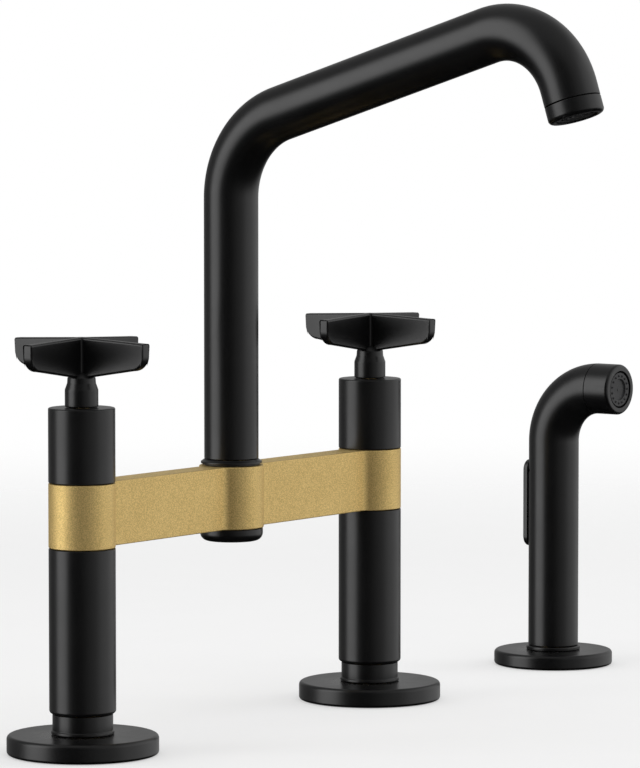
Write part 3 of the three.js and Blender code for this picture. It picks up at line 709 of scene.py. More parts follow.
def lathe_marks() -> bpy.types.NodeTree:
    """Group for the fine rings that a tool leaves on turned metal.

    Returns:
        The group, with outputs Height and Streak.
    """
    effect = Effect("lathe_marks", {"Pitch Scale": 2600.0, "Drift": 0.4}, ("Height", "Streak"))
    graph = effect.graph
    parts = graph.add("SeparateXYZ", {0: effect.place}).outputs
    squared = graph.math("ADD", graph.math("MULTIPLY", parts[0], parts[0]),
                         graph.math("MULTIPLY", parts[1], parts[1]))
    along = graph.math("ADD", parts[2], graph.math("SQRT", squared))
    line = graph.add("CombineXYZ", {0: along})
    rings = graph.add("TexNoise", {"Vector": line.outputs[0], "Scale": effect.inputs["Pitch Scale"]})
    drift = graph.math("MULTIPLY", effect.noise(120.0), effect.inputs["Drift"])
    effect.give("Height", graph.math("ADD", rings.outputs[0], drift))
    effect.give("Streak", graph.ramp(rings.outputs[0], 0.35, 0.65, 0.0, 1.0))
    return effect.tree


@dataclass(frozen=True)
class Effects:
    """The groups, each made once."""

    skin: bpy.types.NodeTree
    wear: bpy.types.NodeTree
    handling: bpy.types.NodeTree
    grain: bpy.types.NodeTree
    lathe: bpy.types.NodeTree

    @classmethod
    def made(cls) -> "Effects":
        """Makes all groups."""
        return cls(sprayed_skin(), edge_wear(), handling(), sand_grain(), lathe_marks())


# ---------------------------------------------------------------- finishes


def new_material(name: str) -> tuple[bpy.types.Material, Graph, bpy.types.Node]:
    """Makes a material with one Principled BSDF.

    Args:
        name: Name of the material.

    Returns:
        The material, its graph and its Principled BSDF.
    """
    material = bpy.data.materials.new(name)
    material.use_nodes = True
    tree = material.node_tree
    return material, Graph(tree), tree.nodes["Principled BSDF"]


def bump(graph: Graph, shader: bpy.types.Node, height: bpy.types.NodeSocket, depth: float,
         strength: float) -> None:
    """Adds relief to a shader.

    Args:
        graph: The material's graph.
        shader: The Principled BSDF.
        height: Relief from 0 to 1.
        depth: Depth of the relief in millimetres.
        strength: Share of it that shows.
    """
    relief = graph.add("Bump", {"Height": height, "Distance": depth * MM, "Strength": strength})
    graph.feed(shader, {"Normal": relief.outputs["Normal"]})


def handled_gloss(graph: Graph, effects: Effects, low: float, high: float,
                  scale: float = 35.0) -> bpy.types.NodeSocket:
    """Roughness that changes a little where hands and cloths went.

    Args:
        graph: The material's graph.
        effects: The shared groups.
        low: Least roughness.
        high: Greatest roughness.
        scale: Broad marks to the metre.

    Returns:
        The roughness.
    """
    marks = graph.group(effects.handling, {"Scale": scale})
    return graph.ramp(marks.outputs["Value"], 0.0, 1.0, low, high, False)


@dataclass(frozen=True)
class SatinCoat:
    """Sprayed black coat with a satin gloss and edges rubbed a little lighter."""

    name: str = "satin_black_coat"
    base: Colour = (0.0027, 0.0027, 0.0029)
    dusty: Colour = (0.0038, 0.0038, 0.0040)
    rubbed: Colour = (0.03, 0.029, 0.028)
    rub: float = 0.55
    polish: float = 0.08
    rough_low: float = 0.28
    rough_high: float = 0.33
    specular: float = 0.5
    wave_scale: float = 650.0
    tooth_scale: float = 5200.0
    depth: float = 0.012

    def material(self, effects: Effects) -> bpy.types.Material:
        """Builds the material.

        Args:
            effects: The shared groups.

        Returns:
            The material.
        """
        material, graph, shader = new_material(self.name)
        skin = graph.group(effects.skin, {"Wave Scale": self.wave_scale, "Tooth Scale": self.tooth_scale})
        wear = graph.group(effects.wear, {"Start": 0.535, "End": 0.62, "Break Scale": 800.0})
        plain = graph.blend(graph.ramp(skin.outputs["Cloud"], 0.35, 0.65, 0.0, 1.0), self.base, self.dusty)
        rub = graph.math("MULTIPLY", wear.outputs["Mask"], self.rub)
        polish = graph.math("MULTIPLY", wear.outputs["Mask"], self.polish)
        gloss = handled_gloss(graph, effects, self.rough_low, self.rough_high)
        graph.feed(shader, {
            "Base Color": graph.blend(rub, plain, self.rubbed),
            "Roughness": graph.math("SUBTRACT", gloss, polish),
            "Specular IOR Level": self.specular,
        })
        bump(graph, shader, skin.outputs["Height"], self.depth, 0.5)
        return material


@dataclass(frozen=True)
class GrainedBrass:
    """Bare brass with a fine sanded grain."""

    name: str = "grained_brass"
    light: Colour = (0.90, 0.665, 0.275)
    deep: Colour = (0.64, 0.46, 0.168)
    rubbed: Colour = (1.0, 0.7448, 0.308)
    rough_low: float = 0.48
    rough_high: float = 0.56
    scale: float = 2200.0
    depth: float = 0.11
    metallic: float = 0.8

    def material(self, effects: Effects) -> bpy.types.Material:
        """Builds the material.

        Args:
            effects: The shared groups.

        Returns:
            The material.
        """
        material, graph, shader = new_material(self.name)
        grain = graph.group(effects.grain, {"Scale": self.scale})
        wear = graph.group(effects.wear, {"Start": 0.53, "End": 0.6})
        body = graph.blend(grain.outputs["Fleck"], self.deep, self.light)
        graph.feed(shader, {
            "Base Color": graph.blend(wear.outputs["Mask"], body, self.rubbed),
            "Metallic": self.metallic,
            "Roughness": handled_gloss(graph, effects, self.rough_low, self.rough_high, 25.0),
        })
        bump(graph, shader, grain.outputs["Height"], self.depth, 0.6)
        return material


@dataclass(frozen=True)
class TurnedMetal:
    """Machined metal with rings from the tool."""

    name: str
    light: Colour
    deep: Colour
    rough: float = 0.3
    pitch_scale: float = 2600.0

    def material(self, effects: Effects) -> bpy.types.Material:
        """Builds the material.

        Args:
            effects: The shared groups.

        Returns:
            The material.
        """
        material, graph, shader = new_material(self.name)
        marks = graph.group(effects.lathe, {"Pitch Scale": self.pitch_scale})
        graph.feed(shader, {
            "Base Color": graph.blend(marks.outputs["Streak"], self.deep, self.light),
            "Metallic": 1.0,
            "Roughness": handled_gloss(graph, effects, self.rough - 0.05, self.rough + 0.08),
        })
        bump(graph, shader, marks.outputs["Height"], 0.02, 0.4)
        return material


@dataclass(frozen=True)
class Moulded:
    """Moulded plastic, rubber or fired ceramic: a skin over one body colour."""

    name: str
    base: Colour
    cloudy: Colour
    rough_low: float
    rough_high: float
    wave_scale: float = 500.0
    tooth: float = 0.5
    depth: float = 0.02

    def material(self, effects: Effects) -> bpy.types.Material:
        """Builds the material.

        Args:
            effects: The shared groups.

        Returns:
            The material.
        """
        material, graph, shader = new_material(self.name)
        skin = graph.group(effects.skin, {"Wave Scale": self.wave_scale, "Tooth": self.tooth})
        cloud = graph.ramp(skin.outputs["Cloud"], 0.35, 0.65, 0.0, 1.0)
        graph.feed(shader, {
            "Base Color": graph.blend(cloud, self.base, self.cloudy),
            "Roughness": handled_gloss(graph, effects, self.rough_low, self.rough_high),
        })
        bump(graph, shader, skin.outputs["Height"], self.depth, 0.5)
        return material


def finishes(effects: Effects) -> dict[Slot, bpy.types.Material]:
    """Makes one material for each slot of the record.

    Args:
        effects: The shared groups.

    Returns:
        The materials by slot.
    """
    makers = {
        Slot.BLACK: SatinCoat(),
        Slot.BRASS: GrainedBrass(),
        Slot.MACHINED: TurnedMetal("turned_brass", (0.62, 0.47, 0.22), (0.52, 0.38, 0.17), 0.32),
        Slot.STEEL: TurnedMetal("turned_steel", (0.56, 0.57, 0.58), (0.46, 0.47, 0.48), 0.28),
        Slot.RUBBER: Moulded("seal_rubber", (0.018, 0.018, 0.018), (0.026, 0.026, 0.027), 0.7, 0.85),
        Slot.PLASTIC: Moulded("black_moulding", (0.016, 0.016, 0.017), (0.022, 0.022, 0.023), 0.45, 0.55),
        Slot.CERAMIC: Moulded("lapped_ceramic", (0.82, 0.81, 0.77), (0.76, 0.75, 0.7), 0.12, 0.2,
                              300.0, 0.2, 0.004),
    }
    return {slot: maker.material(effects) for slot, maker in makers.items()}


# ---------------------------------------------------------------- pieces


@dataclass
class Workshop:
    """Places pieces on their bodies with their finish."""

    materials: dict[Slot, bpy.types.Material]
    placed: list[str] = field(default_factory=list)

    def fit(self, mesh: bpy.types.Mesh, axis: Vector, body: Body, slot: Slot, nodes: Sequence[str]) -> None:
        """Makes a piece of a mesh.

        Args:
            mesh: The mesh about its own axis; its name is the piece's.
            axis: Where that axis stands, in metres.
            body: The body that it rides on.
            slot: Its finish.
            nodes: CAD nodes that it stands for.
        """
        mesh.materials.clear()
        mesh.materials.append(self.materials[slot])
        mesh.polygons.foreach_set("material_index", [0] * len(mesh.polygons))
        mesh.polygons.foreach_set("use_smooth", [True] * len(mesh.polygons))
        mesh.set_sharp_from_angle(angle=SMOOTH_ANGLE)
        piece = loose(mesh)
        piece.location = axis
        normals = piece.modifiers.new("even_shading", "WEIGHTED_NORMAL")
        normals.keep_sharp = True
        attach(piece, body.value)
        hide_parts(*nodes)
        self.placed.append(piece.name)
        LOG.info("%s: %d faces on %s", piece.name, len(mesh.polygons), body.value)


def axis_of(node: str) -> Vector:
    """Foot of the upright axis through a round CAD node.

    Args:
        node: Name of the node.

    Returns:
        The point on the deck, in metres.
    """
    low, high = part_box(node)
    return Vector(((low.x + high.x) / 2, (low.y + high.y) / 2, 0.0))


def deck_flange(radius: float, height: float, bore: float, gasket_in: float, gasket_out: float) -> Shell:
    """Flange with a recess for its gasket.

    Args:
        radius: Outer radius.
        height: Thickness.
        bore: Radius of the hole.
        gasket_in: Inner radius of the recess.
        gasket_out: Outer radius of the recess.

    Returns:
        The shell.
    """
    recess, foot_round, top_round = 1.8, 1.3, 1.7
    return turned([
        (bore, 0), (gasket_in, 0), (gasket_in, recess), (gasket_out, recess), (gasket_out, 0),
        (radius, 0, foot_round), (radius, height, top_round), (bore, height),
    ], 144, 8)


@dataclass
class CrossHandle:
    """Cross handle with four flared arms on a stem."""

    reach: float = 34.8
    top: float = 175.55
    top_drop: float = 1.5
    waist: float = 3.4
    tip: float = 4.9
    waist_at: float = 15.0
    foot: float = 157.95
    foot_slope: float = 0.16
    corner: float = 6.4
    valley: float = 1.2
    edge: float = 1.0
    stem_foot: float = 146.3
    stem: float = 7.05
    shoulder: float = 153.5
    stem_top: float = 5.9
    shoulder_rise: float = 2.8
    crown: float = 4.6
    crown_top: float = 2.4
    dome: float = 3.2
    socket: float = 3.7
    socket_top: float = 156.3
    screw_height: float = 150.4
    screw_hole: float = 1.9

    def half(self, radius: float) -> float:
        """Half the thickness of an arm at a radius."""
        flare = max(0.0, radius - self.waist_at) / (self.reach - self.waist_at)
        return (self.waist + (self.tip - self.waist) * flare ** 2) / 2

    def level(self, radius: float) -> float:
        """Height of an arm's upper edge at a radius."""
        return self.top - self.top_drop * radius / self.reach

    def stations(self) -> list[tuple[float, float]]:
        """Radii along an arm, each with the height of its lower edge.

        Returns:
            The stations from the root to the tip.
        """
        root = self.waist / 2 + self.valley
        straight = self.reach - self.corner
        radii = [root + (straight - root) * k / 9 for k in range(10)]
        radii += [straight + self.corner * math.sin(math.radians(10 * k)) for k in range(1, 10)]
        made = []
        for radius in radii:
            into = max(0.0, radius - straight)
            lift = self.corner - math.sqrt(max(0.0, self.corner ** 2 - into ** 2))
            made.append((radius, self.foot + self.foot_slope * min(radius, straight) + lift))
        return made

    def cross(self) -> Shell:
        """The four arms, with sharp edges.

        Returns:
            The shell.
        """
        shell = Shell()
        root = self.waist / 2
        bend = [math.radians(90 * k / 5) for k in range(1, 5)]
        hollow = [
            (root + self.valley - self.valley * math.sin(a), root + self.valley - self.valley * math.cos(a))
            for a in bend
        ]
        stations = self.stations()
        count = len(stations)

        def pair(x: float, y: float, foot: float, turn: Matrix) -> tuple[int, int]:
            """Adds an upper and a lower point.

            Args:
                x: Place along the first arm.
                y: Place across it.
                foot: Height of the lower point.
                turn: Rotation to the arm that is made.

            Returns:
                Their indices.
            """
            level = self.level(min(abs(x), self.reach) if abs(x) > self.waist_at else math.hypot(x, y))
            spot = turn @ Vector((x, y))
            return tuple(shell.ring((Vector((spot.x, spot.y, level)), Vector((spot.x, spot.y, foot)))))

        arms, valleys = [], []
        for arm in range(4):
            turn = Matrix.Rotation(math.pi / 2 * arm, 2)
            near = [pair(r, -self.half(r), foot, turn) for r, foot in stations]
            far = [pair(r, self.half(r), foot, turn) for r, foot in stations]
            foot = self.foot + self.foot_slope * root
            arms.append((near, far))
            valleys.append([pair(x, y, foot, turn) for x, y in hollow])
        for arm in range(4):
            near, far = arms[arm]
            for side in (near, far):
                for k in range(count - 1):
                    shell.faces.append((side[k][0], side[k + 1][0], side[k + 1][1], side[k][1]))
            for level in (0, 1):
                for k in range(count - 1):
                    strip = (near[k], near[k + 1], far[k + 1], far[k])
                    shell.faces.append(tuple(point[level] for point in strip))
            shell.faces.append((near[-1][0], far[-1][0], far[-1][1], near[-1][1]))
            row = [far[0], *valleys[arm], arms[(arm + 1) % 4][0][0]]
            for first, second in zip(row, row[1:]):
                shell.faces.append((first[0], second[0], second[1], first[1]))
        for level in (0, 1):
            rim = []
            for arm in range(4):
                rim += [arms[arm][0][0][level], arms[arm][1][0][level]]
                rim += [point[level] for point in valleys[arm]]
            shell.faces.append(tuple(rim))
        return shell

    def mesh(self, name: str) -> bpy.types.Mesh:
        """The whole handle.

        Args:
            name: Name of the piece.

        Returns:
            The mesh.
        """
        arms = bevelled(self.cross().mesh(name), self.edge, 5)
        inside = self.foot + self.dome
        stem = turned([
            (0, self.stem_foot), (self.stem, self.stem_foot, 0.5), (self.stem, self.shoulder, 1.5),
            (self.stem_top + 0.15, self.shoulder + self.shoulder_rise, 1.2),
            (self.stem_top, self.foot + 0.6, 0.8), (self.crown, self.foot + 2.0),
            (self.crown_top, inside), (0, inside),
        ], 64)
        socket = rod(self.socket, self.stem_foot - 2, self.socket_top, 32)
        hole = rod(self.screw_hole, 0, self.stem + 2, 32).placed(facing_back(self.screw_height))
        whole = combined(arms, [stem], "UNION")
        whole = combined(whole, [socket, hole], "DIFFERENCE")
        whole.name = name
        return whole


@dataclass
class ValvePost:
    """A valve post: flange, neck, sleeve, bonnet and cross handle."""

    side: Side
    radius: float = 14.1
    flange: float = 32.1
    flange_height: float = 8.2
    gasket_rim: float = 8.0
    gasket_gap: float = 4.7
    shank: float = 9.0
    neck: float = 12.8
    neck_flare: float = 0.55
    neck_foot: float = 8.5
    neck_top: float = 16.9
    sleeve_foot: float = 17.2
    sleeve_top: float = 86.8
    sleeve_bore: float = 11.3
    bonnet_foot: float = 114.6
    bonnet_top: float = 146.0
    bonnet_cap: float = 5.0
    spindle_hole: float = 4.6
    handle: CrossHandle = field(default_factory=CrossHandle)

    def build(self, workshop: Workshop) -> None:
        """Makes the post's pieces.

        Args:
            workshop: Where they are fitted.
        """
        side = self.side.value
        axis = axis_of(f"{side}_sleeve")
        turning = Body.LEFT_HANDLE if self.side is Side.LEFT else Body.RIGHT_HANDLE
        bore = self.shank + CLEAR
        shells = {
            "flange": deck_flange(self.flange, self.flange_height, bore, self.shank + self.gasket_gap,
                                  self.flange - self.gasket_rim + CLEAR),
            "neck": turned([
                (bore, self.neck_foot), (self.neck + self.neck_flare, self.neck_foot, 0.4),
                (self.neck + self.neck_flare - 0.1, self.neck_foot + 1.2, 0.4),
                (self.neck, self.neck_foot + 1.6, 0.3),
                (self.neck, self.neck_top, 0.3), (bore, self.neck_top),
            ]),
            "sleeve": turned([
                (self.sleeve_bore, self.sleeve_foot), (self.radius, self.sleeve_foot, 1.4),
                (self.radius, self.sleeve_top, 0.35), (self.sleeve_bore, self.sleeve_top),
            ]),
            "bonnet": turned([
                (self.sleeve_bore, self.bonnet_foot), (self.radius, self.bonnet_foot, 0.35),
                (self.radius, self.bonnet_top, 0.7), (self.spindle_hole, self.bonnet_top, 0.2),
                (self.spindle_hole, self.bonnet_top - self.bonnet_cap),
                (self.sleeve_bore, self.bonnet_top - self.bonnet_cap),
            ]),
        }
        fit = workshop.fit
        for name, shell in shells.items():
            fit(shell.mesh(f"{side}_{name}_skin"), axis, Body.FAUCET, Slot.BLACK, [f"{side}_{name}"])
        handle, screw = self.handle.mesh(f"{side}_handle_skin"), self.screw(f"{side}_grub_screw")
        fit(handle, axis, turning, Slot.BLACK, [f"{side}_handle"])
        fit(screw, axis, turning, Slot.STEEL, [f"{side}_handle_screw"])

    def screw(self, name: str) -> bpy.types.Mesh:
        """Grub screw with a hexagon socket, in the back of the handle's stem.

        Args:
            name: Name of the piece.

        Returns:
            The mesh.
        """
        radius, key, depth, edge = 1.6, 0.95, 1.6, 0.25
        foot, head = self.handle.socket, self.handle.stem - 0.4
        shell = Shell()
        hexagon = circle(key, 6)
        rings = [shell.ring([Vector((0, 0, foot))])]
        profile = [(radius, foot), (radius, head - edge), (radius - edge, head)]
        rings += [shell.ring(circle(r, 24, h)) for r, h in profile]
        spread = [hexagon[k // 4].lerp(hexagon[(k // 4 + 1) % 6], (k % 4) / 4) for k in range(24)]
        rings.append(shell.ring(Vector((v.x, v.y, head)) for v in spread))
        rings.append(shell.ring(Vector((v.x, v.y, head - depth)) for v in spread))
        rings.append(shell.ring([Vector((0, 0, head - depth - 0.3))]))
        for first, second in zip(rings, rings[1:]):
            shell.skin(first, second)
        return shell.placed(facing_back(self.handle.screw_height)).mesh(name)


@dataclass
class Bridge:
    """Brass bridge: three rings on two flat bars."""

    centres: float = 203.2
    foot: float = 87.1
    height: float = 27.2
    ring: float = 14.1
    bar: float = 13.0
    fillet: float = 4.5
    edge: float = 0.45
    post_bore: float = 10.3
    centre_bore: float = 9.3
    seat: float = 11.6
    seat_depth: float = 3.7
    waterway: float = 3.6

    def outline(self) -> list[Vector]:
        """Outline in plan, counter-clockwise.

        Returns:
            The points, each once.
        """
        post = self.centres / 2
        rise = self.bar / 2 + self.fillet
        along = math.sqrt((self.ring + self.fillet) ** 2 - rise ** 2)
        meet = math.atan2(rise, along)
        quarter = math.pi / 2

        def arc(x: float, y: float, radius: float, start: float, end: float, steps: int) -> list[Vector]:
            """Points of an arc, both ends included.

            Args:
                x: Centre's place along the bridge.
                y: Centre's place across it.
                radius: Radius of the arc.
                start: Angle of the first point.
                end: Angle of the last point.
                steps: Chords of the arc.

            Returns:
                The points.
            """
            angles = [start + (end - start) * k / steps for k in range(steps + 1)]
            return [Vector((x + radius * math.cos(a), y + radius * math.sin(a))) for a in angles]

        front = [
            *arc(-post, 0, self.ring, math.pi, 2 * math.pi - meet, 44),
            *arc(along - post, -rise, self.fillet, math.pi - meet, quarter, 8),
            *arc(-along, -rise, self.fillet, quarter, meet, 8),
            *arc(0, 0, self.ring, math.pi + meet, 2 * math.pi - meet, 32),
            *arc(along, -rise, self.fillet, math.pi - meet, quarter, 8),
            *arc(post - along, -rise, self.fillet, quarter, meet, 8),
            *arc(post, 0, self.ring, math.pi + meet, 2 * math.pi, 44),
        ]
        clean = [p for k, p in enumerate(front) if k == 0 or (p - front[k - 1]).length > 1e-6]
        return clean + [Vector((p.x, -p.y)) for p in reversed(clean[1:-1])]

    def casting(self) -> Shell:
        """The bridge without its bores.

        Returns:
            The shell.
        """
        outline = self.outline()
        count = len(outline)
        inward = []
        for k, point in enumerate(outline):
            along = (outline[(k + 1) % count] - outline[k - 1]).normalized()
            inward.append((point, Vector((-along.y, along.x))))
        steps = [math.radians(90 * k / 4) for k in range(5)]
        low, high = self.foot, self.foot + self.height
        levels = [(self.edge * (1 - math.sin(a)), low + self.edge * (1 - math.cos(a))) for a in steps]
        levels += [(self.edge * (1 - math.sin(a)), high - self.edge * (1 - math.cos(a)))
                   for a in reversed(steps)]
        shell = Shell()
        rings = [
            shell.ring(Vector((*(point + normal * inset), level)) for point, normal in inward)
            for inset, level in levels
        ]
        for first, second in zip(rings, rings[1:]):
            shell.skin(first, second)
        shell.faces.append(tuple(reversed(rings[0])))
        shell.faces.append(tuple(rings[-1]))
        return shell

    def build(self, workshop: Workshop) -> None:
        """Makes the bridge.

        Args:
            workshop: Where it is fitted.
        """
        post = self.centres / 2
        low, high = self.foot - 2, self.foot + self.height + 2

        def bore(radius: float, x: float, top: float = high) -> Shell:
            """Upright cutter.

            Args:
                radius: Its radius.
                x: Its place along the bridge.
                top: Height of its upper face.

            Returns:
                The shell.
            """
            return prism([(x + v.x, v.y) for v in circle(radius, 72)], low, top)

        across = rod(self.waterway, -post, post, 32)
        middle = self.foot + self.height / 2
        across.placed(Matrix.Translation((0, 0, middle)) @ Matrix.Rotation(math.pi / 2, 4, "Y"))
        cutters = [
            bore(self.post_bore, -post), bore(self.post_bore, post), bore(self.centre_bore, 0),
            bore(self.seat, 0, self.foot + self.seat_depth), across,
        ]
        mesh = combined(self.casting().mesh("bridge_casting"), cutters, "DIFFERENCE")
        mesh.name = "bridge_casting"
        workshop.fit(mesh, axis_of("bottom_cap"), Body.FAUCET, Slot.BRASS, ["bridge"])


@dataclass
class Spout:
    """Turning spout with its foot ring, outlet ring and aerator."""

    radius: float = 11.85
    wall: float = 1.6
    foot: float = 117.25
    rise_top: float = 230.5
    bend: float = 38.8
    arm_rise: float = 17.2
    arm: float = 113.7
    tip_bend: float = 32.4
    tip_turn: float = 89.2
    tip: float = 13.5
    ring_length: float = 7.3
    ring_round: float = 1.8
    ring_radius: float = 13.35
    ring_foot: float = 115.5
    ring_lip: float = 0.7
    glide_foot: float = 114.6
    glide_top: float = 115.2
    stem: float = 9.0
    cap: float = 13.7
    cap_top: float = 86.8
    cap_height: float = 5.5
    cap_round: float = 3.4
    cap_plug: float = 11.3
    cap_plug_height: float = 3.7
    cap_floor: float = 1.7
    screw_well: float = 5.4
    recess: float = 0.6

    def line(self) -> Centreline:
        """Centreline of the tube, from its foot to the outlet ring.

        Returns:
            The line.
        """
        return (
            Centreline(self.foot)
            .straight(self.rise_top - self.foot, 6)
            .bend(self.bend, 90 - self.arm_rise, 36)
            .straight(self.arm, 6)
            .bend(self.tip_bend, self.tip_turn, 40)
            .straight(self.tip - self.ring_length, 2)
        )

    def build(self, workshop: Workshop) -> None:
        """Makes the spout's pieces.

        Args:
            workshop: Where they are fitted.
        """
        axis = axis_of("spout_base_ring")
        line = self.line()
        end = line.place(-1)
        bore = self.radius - self.wall
        spigot = bore - CLEAR
        inner = self.stem + CLEAR
        tube = line.tube(self.radius, bore, 0.3, 96)
        foot_ring = turned([
            (inner, self.ring_foot), (self.ring_radius - self.ring_lip, self.ring_foot),
            (self.ring_radius - self.ring_lip, self.ring_foot - 0.35),
            (self.ring_radius, self.ring_foot - 0.35, 0.2),
            (self.ring_radius, self.ring_foot + 0.5, 0.25), (self.radius + 0.55, self.ring_foot + 1.1, 0.4),
            (self.radius + 0.1, self.ring_foot + 1.5, 0.1), (inner, self.ring_foot + 1.5),
        ])
        outlet = turned([
            (spigot - 1, -6), (spigot, -6), (spigot, CLEAR), (self.radius, CLEAR, 0.25),
            (self.radius, self.ring_length, self.ring_round), (spigot - 1, self.ring_length, 0.3),
        ], 96, 10).placed(end)
        glide = turned([
            (inner, self.glide_foot), (self.ring_radius - 1, self.glide_foot),
            (self.ring_radius - 1, self.glide_top), (inner, self.glide_top),
        ], 64)
        cap_foot, floor = self.cap_top - self.cap_height, self.cap_top - self.cap_floor
        plug_in, plug_top = self.stem + 1.3, self.cap_top + self.cap_plug_height
        cap = turned([
            (0, cap_foot), (self.cap, cap_foot, self.cap_round), (self.cap, self.cap_top, 0.3),
            (self.cap_plug, self.cap_top), (self.cap_plug, plug_top), (plug_in, plug_top),
            (plug_in, self.cap_top - 0.8), (self.screw_well, self.cap_top - 0.8),
            (self.screw_well, floor), (0, floor),
        ], 96, 10)
        fit = workshop.fit
        fit(tube.mesh("spout_tube_skin"), axis, Body.SPOUT, Slot.BLACK, ["spout_tube"])
        fit(foot_ring.mesh("spout_foot_ring"), axis, Body.SPOUT, Slot.BLACK, ["spout_base_ring"])
        fit(outlet.mesh("outlet_ring_skin"), axis, Body.SPOUT, Slot.BLACK, ["outlet_ring"])
        fit(self.aerator(spigot - 1.6, end), axis, Body.SPOUT, Slot.PLASTIC, ["aerator"])
        fit(glide.mesh("glide_washer"), axis, Body.FAUCET, Slot.PLASTIC, ["spout_glide"])
        fit(cap.mesh("bottom_cap_skin"), axis, Body.FAUCET, Slot.BLACK, ["bottom_cap"])

    def aerator(self, radius: float, end: Matrix) -> bpy.types.Mesh:
        """Aerator with a rim, a star of ribs and a fine screen.

        Args:
            radius: Its outer radius.
            end: Frame at the end of the tube.

        Returns:
            The mesh.
        """
        face = self.ring_length - self.recess
        rim, floor, ribs, rib_half = radius - 1.2, face - 1.1, 12, 0.25
        body = turned([
            (0, -5), (radius, -5), (radius, face, 0.3), (rim, face, 0.2), (rim, face - 1.0),
            (0, face - 0.9),
        ], 64)
        for level, size in ((face - 0.35, radius - 2.6), (face - 0.3, radius - 4.4), (face - 0.25, 2.4)):
            body.join(turned([
                (size - 0.35, floor), (size - 0.25, level, 0.1), (size + 0.25, level, 0.1),
                (size + 0.35, floor),
            ], 48, 3))
        rib = [(2.3, -rib_half), (rim + 0.1, -rib_half), (rim + 0.1, rib_half), (2.3, rib_half)]
        for k in range(ribs):
            turn = Matrix.Rotation(2 * math.pi * k / ribs, 4, "Z")
            body.join(prism(rib, floor, face - 0.4).placed(turn))
        return body.placed(end).mesh("aerator_insert")


